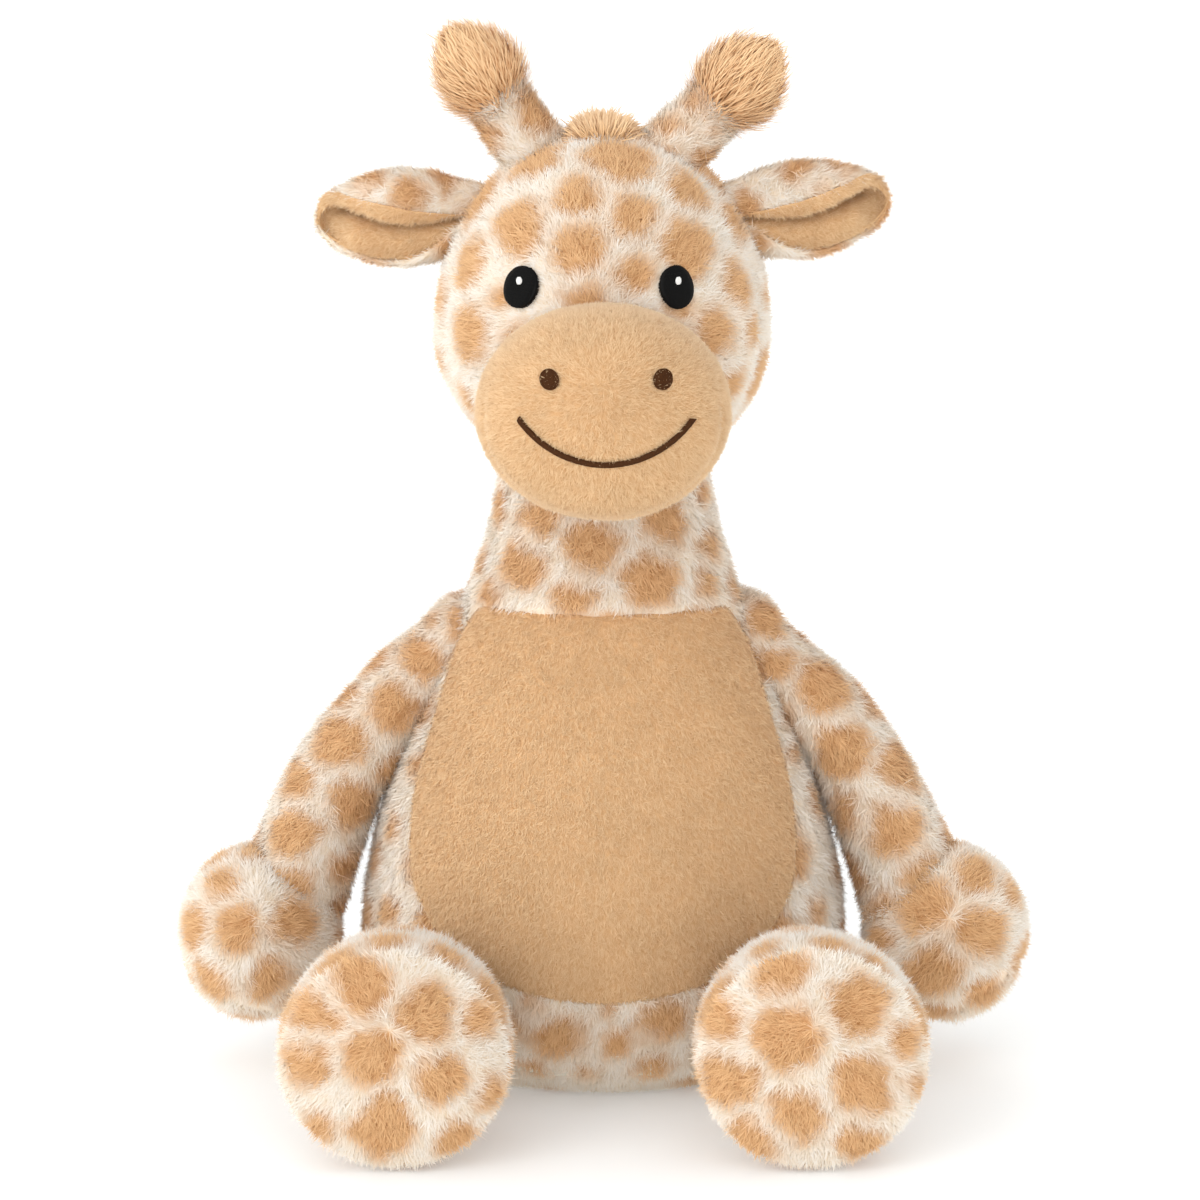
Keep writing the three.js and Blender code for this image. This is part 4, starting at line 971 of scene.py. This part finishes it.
def limb(name, root, way, radius, tube, end, rows, sides, wide, deep, bow=0):
    """A tube that starts as a ball round its pivot. tube gives its radius at shares of its way."""
    length = np.linalg.norm(way)
    t = np.concatenate([-radius / length * np.cos(np.linspace(0.1, 1.5, 8)), np.linspace(0, end, rows)])
    ball = np.sqrt(np.clip(radius ** 2 - (t * length) ** 2, 0, None))
    reach = np.maximum(np.maximum(ball, np.where(t > 0, tube(t) - PLUSH_RISE, 0)), 1 * MM)[:, None]
    centres = root + way * t[:, None] + wide * (np.sin(np.pi * np.clip(t, 0, 1)) * bow)[:, None]
    grid = round_grid(centres, wide * reach, deep * reach, sides)
    return skin(name, grid, centres[0] - way / length * 0.5 * MM, centres[-1]), centres - wide * reach


def make_egg(name, centre, half, rings, sides):
    """A closed round form with its poles above and below."""
    tilt = np.linspace(-np.pi / 2, np.pi / 2, rings + 2)[1:-1]
    size = np.cos(tilt)
    grid = round_grid(centre + xyz(0, 0, np.sin(tilt) * half[2]), xyz(size * half[0], 0, 0),
                      xyz(0, size * half[1], 0), sides)
    return skin(name, grid, centre - [0, 0, half[2]], centre + [0, 0, half[2]])


def make_arm_skins(sign):
    """A bowed arm and its round hand."""
    side = SIDE_NAMES[sign]
    low, high = corners(side + "_hand")
    outer = high[0] if sign > 0 else -low[0]
    hand = np.array([sign * (outer - HAND_HALF[0]), (low[1] + high[1]) / 2, (low[2] + high[2]) / 2])
    root = pivots[side + "_arm_raise"]
    way = hand + WRIST_FROM_HAND * [sign, 1, 1] - root
    outward = np.array([-way[2] * sign, 0, way[0] * sign])
    outward /= np.linalg.norm(outward)
    arm, inner_seam = limb(side + "_arm_plush", root, way, SHOULDER_RADIUS - PLUSH_RISE,
                           lambda t: ARM_HALF[0] + (ARM_HALF[1] - ARM_HALF[0]) * t, LIMB_END, 52, 48, outward, BACKWARD,
                           ELBOW_BOW)
    lumps(arm, 26 * MM, 1.2 * MM, 20 + sign)
    settle(arm, inner_seam)
    palm = make_egg(side + "_hand_plush", hand, HAND_HALF - PLUSH_RISE, 54, 64)
    lumps(palm, 28 * MM, 1.0 * MM, 24 + sign)
    turn = np.radians(np.linspace(0, 360, 160))
    round_hand = xyz(np.cos(turn), np.sin(turn), np.sin(turn))
    seam = hand + (HAND_HALF - PLUSH_RISE) * (round_hand * HAND_SEAM + HAND_SEAM_SHIFT)
    settle(palm, seam)
    press_seam(palm, seam, 1.1 * MM, 2.0 * MM, 26)
    return arm, palm


def make_leg_skins(sign):
    """A short leg, its round foot and the domed sole sewn in front."""
    side = SIDE_NAMES[sign]
    low, high = corners(side + "_foot")
    sole_low, sole_high = corners(side + "_sole")
    centre = (low + high) / 2
    half_x, half_z = (high[0] - low[0]) / 2 - PLUSH_RISE, (high[2] - low[2]) / 2 - PLUSH_RISE
    seam_y = sole_high[1]
    along, size = eased(FOOT_ALONG, FOOT_SIZE, 50, 1)
    centres = xyz(centre[0], high[1] + (seam_y - high[1]) * along, centre[2])
    grid = round_grid(centres, xyz(size * half_x, 0, 0), xyz(0, 0, size * half_z), FOOT_SIDES)
    front = centres[-1] + (grid[-1] - centres[-1])[None] * np.linspace(0.9, 0.1, 6)[:, None, None]
    foot = skin(side + "_foot_plush", np.concatenate([grid, front]), centres[0] + [0, 0.5 * MM, 0], centres[-1])
    lumps(foot, 30 * MM, 0.9 * MM, 30 + sign)
    settle(foot, grid[-1])
    s = np.sin(np.linspace(0, np.pi / 2, SOLE_RINGS + 1)[1:])
    dome = (seam_y - sole_low[1] - PLUSH_RISE) * (1 - s ** 2.2) ** 0.75
    turn = np.linspace(0, 2 * np.pi, FOOT_SIDES, endpoint=False)
    ring = xyz(np.cos(turn) * half_x * SOLE_SHARE, 0, np.sin(turn) * half_z * SOLE_SHARE)
    base = np.array([centre[0], seam_y, centre[2]])
    face = [base + ring * share - [0, depth + 0.6 * MM, 0] for share, depth in zip(s, dome)]
    back = [base + ring * share - [0, 0.3 * MM, 0] for share in SOLE_BACK]
    sole = skin(side + "_sole_plush", np.array(face + back), base - [0, dome.max() + 0.6 * MM, 0],
                base - [0, 0.3 * MM, 0])
    lumps(sole, 26 * MM, 0.8 * MM, 34 + sign)
    give_first(sole, 1 + SOLE_RINGS * FOOT_SIDES)
    root = pivots[side + "_leg_lift"]
    way = np.array([centre[0], high[1] - ANKLE_INSET, centre[2]]) - root
    out = np.array([-way[1], way[0], 0])
    out /= np.linalg.norm(out)
    leg, _ = limb(side + "_leg_plush", root, way, HIP_RADIUS - PLUSH_RISE, lambda t: LEG_RADIUS, LIMB_END, 16, 48, out,
                  np.cross(way / np.linalg.norm(way), out))
    lumps(leg, 24 * MM, 0.8 * MM, 38 + sign)
    return leg, foot, sole


def turn_y(points, degrees):
    cos, sin = math.cos(math.radians(degrees)), math.sin(math.radians(degrees))
    x, y, z = points[..., 0], points[..., 1], points[..., 2]
    return xyz(x * cos + z * sin, y, z * cos - x * sin)


def ear_sheet(sign, offset, inset=0.0, roll=None, lip=False):
    """One face of the cupped ear, from its lower edge round the back to its upper edge.

    inset is in degrees from the lower edge, and roll is how far the face stands off at each step of the rolled edge
    beyond the upper one. lip fills the lower half out to the front and leaves a crease under the upper edge."""
    at = np.linspace(EAR_ALONG[0], EAR_ALONG[-1], EAR_ROWS)
    reach = np.sqrt(np.clip(1 - (np.abs(at) / 1.005) ** 3.2, 0, None))
    blend = ease_step(at, 0.5, 0.8)
    high = (np.interp(at, EAR_ALONG, EAR_HIGH) * (1 - blend) + 0.98 * reach * blend) * EAR_HALF_HIGH
    deep = (np.interp(at, EAR_ALONG, EAR_DEEP) * (1 - blend) + 0.95 * reach * blend) * EAR_HALF_DEEP
    _, top = eased(EAR_ALONG, EAR_TOP, EAR_ROWS, 1)
    _, low = eased(EAR_ALONG, EAR_LOW, EAR_ROWS, 1)
    angle = -(low[:, None] - inset) + np.linspace(0, 1, EAR_COLUMNS)[None] * (top + low - inset)[:, None]
    offset = np.full(EAR_COLUMNS, offset)
    if roll is not None:
        step = np.linspace(0, 1, len(roll) + 1)[1:][None]
        angle = np.concatenate([angle, top[:, None] + step * np.interp(at, EAR_ALONG, EAR_ROLL)[:, None]], 1)
        offset = np.concatenate([offset, roll])
    high, deep = high[:, None] + offset, deep[:, None] + offset
    y, z = np.cos(np.radians(angle)) * deep, np.sin(np.radians(angle)) * high
    if lip:
        full = EAR_LIP_BULGE * np.sin(np.pi * np.clip(-z / high, 0, 1)) + EAR_LIP_OUT
        filled = 1 - ease_step(angle, EAR_CREASE - 14, EAR_CREASE + 14)
        y = y - filled * (1 - ease_step(at, 0.72, 0.95))[:, None] * np.maximum(0, y + full)
    grid = xyz((sign * at * EAR_REACH)[:, None], y, z)
    return turn_y(grid, -sign * EAR_TILT[sign]) + pivots[SIDE_NAMES[sign] + "_ear_flap"]


def make_ear_skins(sign):
    side = SIDE_NAMES[sign]
    back = sheet(side + "_ear_plush", ear_sheet(sign, EAR_CLOTH - PLUSH_RISE * 0.6), ear_sheet(sign, 0.0))
    lumps(back, 16 * MM, 0.5 * MM, 42 + sign)
    give_first(back, len(back.data.vertices) // 2)
    inner, outer = -SEAM_GAP - EAR_LINING * 0.6, -SEAM_GAP + 0.1 * MM
    step = np.linspace(0, 1, 13)[1:]
    under = inner - 0.8 * MM * np.sin(np.pi * step)
    over = outer + 2.6 * MM * np.sqrt(1 - step ** 2) * ease_step(step, 0, 0.15)
    lining = sheet(side + "_ear_velour", ear_sheet(sign, inner, 2, under, True), ear_sheet(sign, outer, 2, over))
    lumps(lining, 12 * MM, 0.5 * MM, 40 + sign)
    number = np.arange(len(lining.data.vertices))
    rolled = number % (EAR_COLUMNS + len(step)) > EAR_COLUMNS + 1
    give(lining, "cover", ((number < len(number) // 2) | rolled).astype(float))
    return back, lining


def tip_shares(count):
    share, size = eased(TIP_ALONG, TIP_SIZE, count, 1)
    return share[1:-1, None], np.clip(size, 0.05, None)[1:-1, None]


def make_horn_skins(sign):
    side = SIDE_NAMES[sign]
    root = pivots[side + "_horn_bend"]
    way = middle(side + "_horn_tip") - root
    way[1] = 0
    way /= np.linalg.norm(way)
    wide = np.array([way[2], 0, -way[0]])
    stem, _ = limb(side + "_horn_plush", root, way, HORN_RADIUS[0] - PLUSH_RISE,
                   lambda s: np.interp(s, [0, HORN_LENGTH], HORN_RADIUS), HORN_LENGTH, 14, 40, wide, BACKWARD)
    lumps(stem, 18 * MM, 0.6 * MM, 50 + sign)
    share, size = tip_shares(40)
    start = HORN_LENGTH - TIP_SINK
    centres = root + way * (start + TIP_START + share * (TIP_LENGTH - TIP_RISE - TIP_START))
    reach = size * (TIP_RADIUS - TIP_RISE)
    tip = skin(side + "_horn_tip_pile", round_grid(centres, wide * reach, BACKWARD * reach, 40),
               centres[0] - way * 0.5 * MM, centres[-1] + way * 0.5 * MM)
    return stem, tip, way


def make_tail_skins():
    """The tail, which leaves the back level and hangs down, and its tuft."""
    root = pivots["tail_wag"]
    tuft_low, tuft_high = corners("tail_tuft")
    end = np.array([0, (tuft_low[1] + tuft_high[1]) / 2, tuft_high[2] - TAIL_RADIUS])
    run = np.linspace(0, 3, 30)
    out = np.interp(run, range(4), TAIL_OUT) / TAIL_OUT[-1]
    drop = np.interp(run, range(4), TAIL_DROP)
    centres = xyz(0, root[1] + out * (end[1] - root[1]), root[2] + drop * (end[2] - root[2]))
    for _ in range(6):
        centres[1:-1] = (centres[:-2] + centres[1:-1] * 2 + centres[2:]) / 4
    way = np.gradient(centres, axis=0)
    way /= np.linalg.norm(way, axis=1)[:, None]
    wide = np.repeat(ACROSS[None], len(run), 0)
    reach = TAIL_RADIUS - 1.5 * MM
    grid = round_grid(centres, wide * reach, np.cross(way, wide) * reach, 24)
    tail = skin("tail_plush", grid, centres[0], centres[-1])
    share, size = tip_shares(24)
    centres = xyz(0, end[1], tuft_high[2] - 1 * MM - share[:, 0] * (tuft_high[2] - tuft_low[2] - 4 * MM))
    reach = size * (TUFT_RADIUS - 3.5 * MM)
    grid = round_grid(centres, ACROSS * reach, BACKWARD * reach, 24)
    return tail, skin("tail_tuft_pile", grid, centres[0], centres[-1])


def strip(name, surface, half, rays):
    """A strip of backing laid on a skin, with a row of points for each ray in the middle plane."""
    tree = tree_of(surface)
    upper, lower = [], []
    for start, way in rays:
        hits = [tree.ray_cast(Vector((x, 0, 0)) + start, way)[:2] for x in np.linspace(-half, half, 13)]
        upper.append([hit + normal * STRIP_HIGH * MM for hit, normal in hits])
        lower.append([hit + normal * STRIP_LOW * MM for hit, normal in hits])
    made = sheet(name, np.array(upper), np.array(lower))
    give_first(made, len(made.data.vertices) // 2)
    return made


def arc_rays(from_angle, to_angle, rows):
    """Rays towards the middle of the head, at angles above -Y."""
    centre = Vector((0, 0, (head_low[2] + head_high[2]) / 2))
    ways = [Vector((0, -math.cos(a), math.sin(a))) for a in np.radians(np.linspace(from_angle, to_angle, rows))]
    return [(centre + way * 0.3, -way) for way in ways]


# Embroidery
def sew(name, threads, thickness, material, pad=None):
    """Yarn along each run of points, over a closed pad of filling stitches."""
    points, edges = [], []
    for run in threads:
        edges += [(len(points) + i, len(points) + i + 1) for i in range(len(run) - 1)]
        points += run
    made = new_object(name, points, [], edges)
    bake(made, "stitches", thread=thickness / 2, material=material)
    if pad:
        pad.data.materials.append(material)
        with bpy.context.temp_override(active_object=made, selected_editable_objects=[made, pad]):
            bpy.ops.object.join()
    return made


def on_oval(front, centre, lean):
    """The place and normal on a skin at a step along and across a leaning oval."""
    cos, sin = math.cos(lean), math.sin(lean)
    return lambda u, v: front(centre[0] + u * cos - v * sin, centre[1] + u * sin + v * cos)


def oval_pad(name, place, half, low, high, bulge):
    """A closed oval of filling stitches on a skin, domed in the middle."""
    def at(s, turn, lift):
        hit, normal = place(math.cos(turn) * half[0] * s, math.sin(turn) * half[1] * s)
        return hit + normal * lift
    turns = np.linspace(0, 2 * np.pi, 36, endpoint=False)
    shares = np.linspace(0.12, 1, 9)
    face = [[at(s, a, high + bulge * math.sqrt(1 - s ** 2)) for a in turns] for s in shares]
    under = [[at(s, a, low) for a in turns] for s in shares[::-1]]
    return skin(name, np.array(face + under), at(0, 0, high + bulge), at(0, 0, low))


def oval_threads(place, half, lift, bulge, pitch, slant):
    """Satin stitches side by side across an oval."""
    threads = []
    for row in np.arange(-half[1] + pitch / 2, half[1], pitch):
        reach = half[0] * math.sqrt(1 - (row / half[1]) ** 2)
        run = []
        for share in np.linspace(-1, 1, 9):
            u = share * reach
            v = np.clip(row + share * reach * slant, -half[1] * 0.98, half[1] * 0.98)
            inside = min(1.0, math.hypot(u / half[0], v / half[1]))
            hit, normal = place(u, v)
            end = 0.5 * MM if abs(share) == 1 else 0
            run.append(hit + normal * (lift + bulge * math.sqrt(1 - inside ** 2) - end))
        threads.append(run)
    return threads


def make_eye(sign, front):
    """A satin-stitched eye and its glint."""
    side, lift = SIDE_NAMES[sign], PLUSH_RISE - 0.1 * MM
    place = on_oval(front, middle(side + "_eye")[[0, 2]], math.radians(EYE_LEAN) * sign)
    pad = oval_pad(side + "_eye_pad", place, EYE_HALF, -0.5 * MM, lift, EYE_DOME)
    threads = oval_threads(place, EYE_HALF, lift + 0.1 * MM, EYE_DOME, 0.36 * MM, 0.12)
    dress(sew(side + "_eye_satin", threads, 0.42 * MM, black, pad), "head", "black_thread", side + "_eye")
    lift += GLINT_LIFT
    place = on_oval(front, middle(side + "_eye_glint")[[0, 2]], 0)
    pad = oval_pad(side + "_glint_pad", place, GLINT_HALF, lift, lift + 0.15 * MM, GLINT_DOME)
    threads = oval_threads(place, GLINT_HALF, lift + 0.2 * MM, GLINT_DOME, 0.34 * MM, 0.1)
    dress(sew(side + "_glint_satin", threads, 0.38 * MM, white, pad), "head", "white_thread", side + "_eye_glint")


def make_nostril(side, front):
    """A nostril filled with satin stitches inside two rounds of thread."""
    half, lift = NOSTRIL_HALF, VELOUR_RISE + 0.3 * MM
    place = on_oval(front, middle(side + "_nostril")[[0, 2]], 0)
    pad = oval_pad(side + "_nostril_pad", place, half, -0.3 * MM, lift - 0.1 * MM, NOSTRIL_DOME)
    threads = oval_threads(place, NOSTRIL_FILL, lift, NOSTRIL_DOME, 0.36 * MM, 0.3)
    for share in (0.99, 0.86):
        hits = [place(math.cos(turn) * half[0] * share, math.sin(turn) * half[1] * share)
                for turn in np.linspace(0, 2 * np.pi, 33)]
        threads.append([hit + normal * (lift + 0.1 * MM) for hit, normal in hits])
    dress(sew(side + "_nostril_satin", threads, 0.46 * MM, brown, pad), "head", "brown_thread", side + "_nostril")


def make_smile(front):
    """Short stitches side by side along an arc."""
    low, high = corners("mouth_stitch")
    half_width, dip = (high[0] - low[0]) / 2 - MOUTH_LINE / 2, high[2] - low[2] - MOUTH_LINE
    radius = (half_width ** 2 + dip ** 2) / (2 * dip)
    centre_x, centre_z = (low[0] + high[0]) / 2, low[2] + MOUTH_LINE / 2 + radius
    reach = math.asin(half_width / radius)

    def at(turn, r, lift):
        hit, normal = front(centre_x + math.sin(turn) * r, centre_z - math.cos(turn) * r)
        return hit + normal * lift
    threads = [[at(turn + share * 0.5 * MM / radius, radius + share * MOUTH_LINE / 2, VELOUR_RISE + lift * MM)
                for share, lift in MOUTH_STITCH]
               for turn in np.arange(-reach, reach, MOUTH_PITCH / radius)]
    threads.append([at(turn, radius, VELOUR_RISE * 1.2) for turn in np.linspace(-reach, reach, 90)])
    dress(sew("smile_satin", threads, 0.44 * MM, brown), "head", "brown_thread", "mouth_stitch")


def trim_near_eyes(made):
    """The pile is clipped round the eyes and pressed away under them and the muzzle."""
    points = points_of(made)
    mid, half = (muzzle_low + muzzle_high) / 2, (muzzle_high - muzzle_low) / 2
    reach = np.hypot((points[:, 0] - mid[0]) / half[0], (points[:, 2] - mid[2]) / half[2])
    cover = np.where(points[:, 1] < 0, ease_step(reach, 0.9, 0.98), 1)
    length = np.ones(len(points))
    for side in SIDE_NAMES.values():
        gap = np.linalg.norm(points - middle(side + "_eye"), axis=1)
        cover = cover * ease_step(gap, *EYE_BARE)
        length = length * (SHORTEST + (1 - SHORTEST) * ease_step(gap, *EYE_SHORT))
    return cover, length


def face_seam():
    """The seam of the face panel, from the root of a horn down past the ear to the cheek."""
    z = np.linspace(head_low[2] + 12 * MM, head_high[2] - 14 * MM, 90)
    size = np.interp((z - head_low[2]) / HEAD_HEIGHT, HEAD_RISE, HEAD_SIZE)
    x = math.cos(FACE_SEAM_TURN) * size * (head_high[0] - PLUSH_RISE)
    y = math.sin(FACE_SEAM_TURN) * size * (-head_low[1] - PLUSH_RISE)
    return np.concatenate([xyz(x, y, z), xyz(-x, y, z)])


def side_seam():
    """The seams down the sides of the body and down the middle of its back."""
    share = np.linspace(0.03, 0.95, 120)
    wide = np.interp(share, BODY_RISE, BODY_WIDTH) * body_high[0] - PLUSH_RISE
    back = np.interp(share, BODY_RISE, BODY_BACK) * body_high[1] - PLUSH_RISE
    z = share * BODY_HEIGHT
    return np.concatenate([xyz(wide, 0, z), xyz(-wide, 0, z), xyz(0, back, z)])


def away_from_muzzle(p):
    """The comb of the face, outward from between the eyes and down."""
    away = (p - FACE_CENTRE) * [1, 0, 1]
    return away / np.maximum(np.linalg.norm(away, axis=1)[:, None], 1e-6) + [0, 0.8, 0] + DOWN * 0.35


# Materials
strand_group()
stitch_group()
mane_blade = blade_mesh("mane_strand", [(0, 0), (0.22, 0.36), (0.52, 0.62), (0.86, 0.74)], [1.0, 0.8])
long_blade = blade_mesh("long_strand", [(0, 0), (0.3, 0.24), (0.65, 0.38), (1.0, 0.42)], [1.0, 0.8])
# Each pile's first colour is its tip and its second its root, darker as painted shade between the strands
plush = ("spotted_plush", PLUSH, fibre_mesh("plush_strand", 0.86, 0.5),
         pile_cloth("spotted_plush", "F6F0EA", "EED8BA", 0.85, ("E8BD8D", "BC824C")))
velour = ("tan_plush", VELOUR, fibre_mesh("velour_strand", 0.8, 0.6),
          pile_cloth("tan_velour", "ECCAA0", "CE9B66", 0.88))
shaggy = ("long_pile", LONG, long_blade, pile_cloth("long_tan_pile", "EFCBA0", "C58F58", 0.8))
black = thread_cloth("black_thread", "030303", "0C0C0D")
white = thread_cloth("white_thread", "D8D8D8", "FFFFFF")
brown = thread_cloth("brown_thread", "2E1606", "55300F")
make_camera()
make_light()
make_floor()

# Bare skins
torso = make_torso_skin()
settle(torso, side_seam(), 6 * MM)
tummy = make_tummy_skin(front_of(torso))
sunk = ease_step(-beyond_tummy(points_of(torso)), -4 * MM, 3 * MM) * 1.2 * MM
move(torso, points_of(torso) - normals_of(torso) * sunk[:, None])
cut_zip_slot(torso)
head = make_head_skin()
settle(head, face_seam(), 5 * MM)
press_seam(head, face_seam(), 1.5 * MM, 2.2 * MM, 8)
muzzle = make_muzzle_skin()
head_front, muzzle_front = front_of(head), front_of(muzzle)
limbs, ears, horns = {}, {}, {}
for sign in SIDE_NAMES:
    limbs[sign] = (*make_arm_skins(sign), *make_leg_skins(sign))
    ears[sign], horns[sign] = make_ear_skins(sign), make_horn_skins(sign)
tail, tuft = make_tail_skins()
mane_half = corners("mane_head")[1][0] - 1 * MM
mane_head = strip("mane_head_pile", head, mane_half, arc_rays(*MANE_ANGLES))
forelock = strip("forelock_pile", head, mane_half * FORELOCK_SHARE, arc_rays(*FORELOCK_ANGLES))
mane_low, mane_high = corners("mane_neck")
mane_neck = strip("mane_neck_pile", torso, mane_half, [
    (Vector((0, 0.3, z)), Vector((0, -1, 0))) for z in np.linspace(mane_high[2] - 2 * MM, mane_low[2] + 2 * MM, 36)])
find_seen_spots([torso, head, *limbs[LEFT], *limbs[RIGHT], *(ears[s][0] for s in ears), *(horns[s][0] for s in horns)])

# The body's coat
points = points_of(torso)
cover = veil(torso, [tail]) * tuck(torso, [limbs[sign][k] for k in (0, 2) for sign in (LEFT, RIGHT)])
over_panel = ease_step(points[:, 2], tummy_high[2] - 8 * MM, tummy_high[2]) * 2.5 * MM
cover *= ease_step(beyond_tummy(points) - over_panel, -1.5 * MM, 0.5 * MM) * (1 - in_dish(points))
cover *= ease_step(clearance(points, mane_neck, True), 0.3 * MM, 2 * MM) * (points[:, 2] > 0.1 * MM)
slot_low, slot_high = corners("zip_tape")
in_slot = (points < slot_high + 1 * MM).all(1) & (points[:, :2] > slot_low[:2] - 1 * MM).all(1)
give(torso, "cover", cover * (1 - in_slot))
coat(torso, plush, 11, "torso", "body_cover", fanned(DOWN, [3, 3, 0]))
coat(tummy, velour, 21, "torso", "tummy_panel", DOWN)
coat(mane_neck, shaggy, 31, "torso", "mane_neck", fanned(DOWN, [14, 0, 0]), 0.95, mane_blade)

# The head's coat and face
cover, length = trim_near_eyes(head)
cover *= veil(head, [horns[LEFT][0], horns[RIGHT][0]])
cover *= ease_step(points_of(head)[:, 2], head_low[2] + 6 * MM, head_low[2] + 7 * MM)
for laid in (mane_head, forelock, ears[LEFT][0], ears[RIGHT][0]):
    cover *= ease_step(clearance(points_of(head), laid, True), 0.3 * MM, 1.5 * MM)
give(head, "cover", cover)
give(head, "length", length)
coat(head, plush, 12, "head", "head", away_from_muzzle)
give(muzzle, "cover", veil(muzzle, [head], -3 * MM, 0))
coat(muzzle, velour, 22, "head", "muzzle", fanned([0, 0.03, -0.02], [1, 0, 1], MUZZLE_CENTRE))
give(mane_head, "length", 0.65 + 0.35 * ease_step(points_of(mane_head)[:, 1], 2 * MM, 30 * MM))
coat(mane_head, shaggy, 32, "head", "mane_head",
     lambda p: BACKWARD * 0.8 + DOWN * (p[:, 1] > CROWN_FRONT)[:, None] + p * [14, 0, 0], 0.95, mane_blade)
coat(forelock, shaggy, 33, "head", "forelock", fanned(BACKWARD * 0.6, [40, 0, 0]), 0.7, mane_blade)
for sign, side in SIDE_NAMES.items():
    make_eye(sign, head_front)
    make_nostril(side, muzzle_front)
make_smile(muzzle_front)

# The coats of the limbs, ears, horns and tail
for sign, side in SIDE_NAMES.items():
    arm, hand, leg, foot, sole = limbs[sign]
    give(arm, "cover", veil(arm, [hand]) * tuck(arm, [torso], -6 * MM, -3 * MM))
    give(hand, "cover", veil(hand, [arm]))
    give(leg, "cover", veil(leg, [foot]) * tuck(leg, [torso], -8 * MM, -4 * MM))
    y, seam_y = points_of(foot)[:, 1], corners(side + "_sole")[1][1]
    give(foot, "cover", veil(foot, [leg]) * ease_step(y, seam_y - 0.5 * MM, seam_y + 0.5 * MM))
    give(foot, "length", 0.85 + 0.15 * ease_step(y, seam_y, seam_y + 7 * MM))
    give(sole, "length", np.full(len(sole.data.vertices), 0.85))
    centre, palm = middle(side + "_sole"), middle(side + "_hand")
    for piece, seed, body, node, flow in (
            (arm, 41, "_arm", "_arm", palm - pivots[side + "_arm_raise"]),
            (hand, 43, "_arm", "_hand", fanned(DOWN * 0.5 + BACKWARD * 0.6, [25, 0, 25], palm)),
            (leg, 45, "_leg", "_leg", BACKWARD + DOWN * 0.3),
            (foot, 47, "_leg", "_foot", BACKWARD * 0.8 + DOWN * 0.5),
            (sole, 49, "_leg", "_sole", fanned(DOWN * 0.3 + BACKWARD * 0.9, [14, 0, 14], centre))):
        coat(piece, plush, seed + sign, side + body, side + node, flow)
    for piece in ears[sign]:
        own = read(piece.data.attributes["cover"].data, "value", 1)[:, 0]
        give(piece, "cover", own * veil(piece, [head], -4 * MM, -2 * MM))
    ear, lining = ears[sign]
    coat(ear, plush, 51 + sign, side + "_ear", side + "_ear_back", ACROSS * sign + DOWN * 0.3, 0.75)
    coat(lining, velour, 53 + sign, side + "_ear", side + "_ear_lining", ACROSS * sign + DOWN * 0.5)
    stem, tip, horn_way = horns[sign]
    give(stem, "cover", veil(stem, [tip]) * veil(stem, [head], -4 * MM, -2 * MM))
    coat(stem, plush, 55 + sign, side + "_horn", side + "_horn_stem", horn_way)
    coat(tip, shaggy, 57 + sign, side + "_horn", side + "_horn_tip", horn_way)
coat(tail, plush, 61, "tail", "tail", DOWN, longer=0.55)
coat(tuft, shaggy, 63, "tail", "tail_tuft", DOWN, 0.8)

# The zip and the bag keep their solids, and the slider also the frame's own plain nylon
for node, cloth in (
        ("zip_tape", zip_tape_cloth()),
        ("zip_teeth", grain_cloth("zip_nylon", "BFA57C", "D3BB93", 0.8 * MM, 4.0, 0.03 * MM, Roughness=0.4)),
        ("stuffing_bag", grain_cloth("bag_cloth", "DAD6CC", "F3F0E8", 0.9 * MM, 2.0, 0.08 * MM, Roughness=0.9))):
    frame["nodes"][node].data.materials.clear()
    frame["nodes"][node].data.materials.append(cloth)
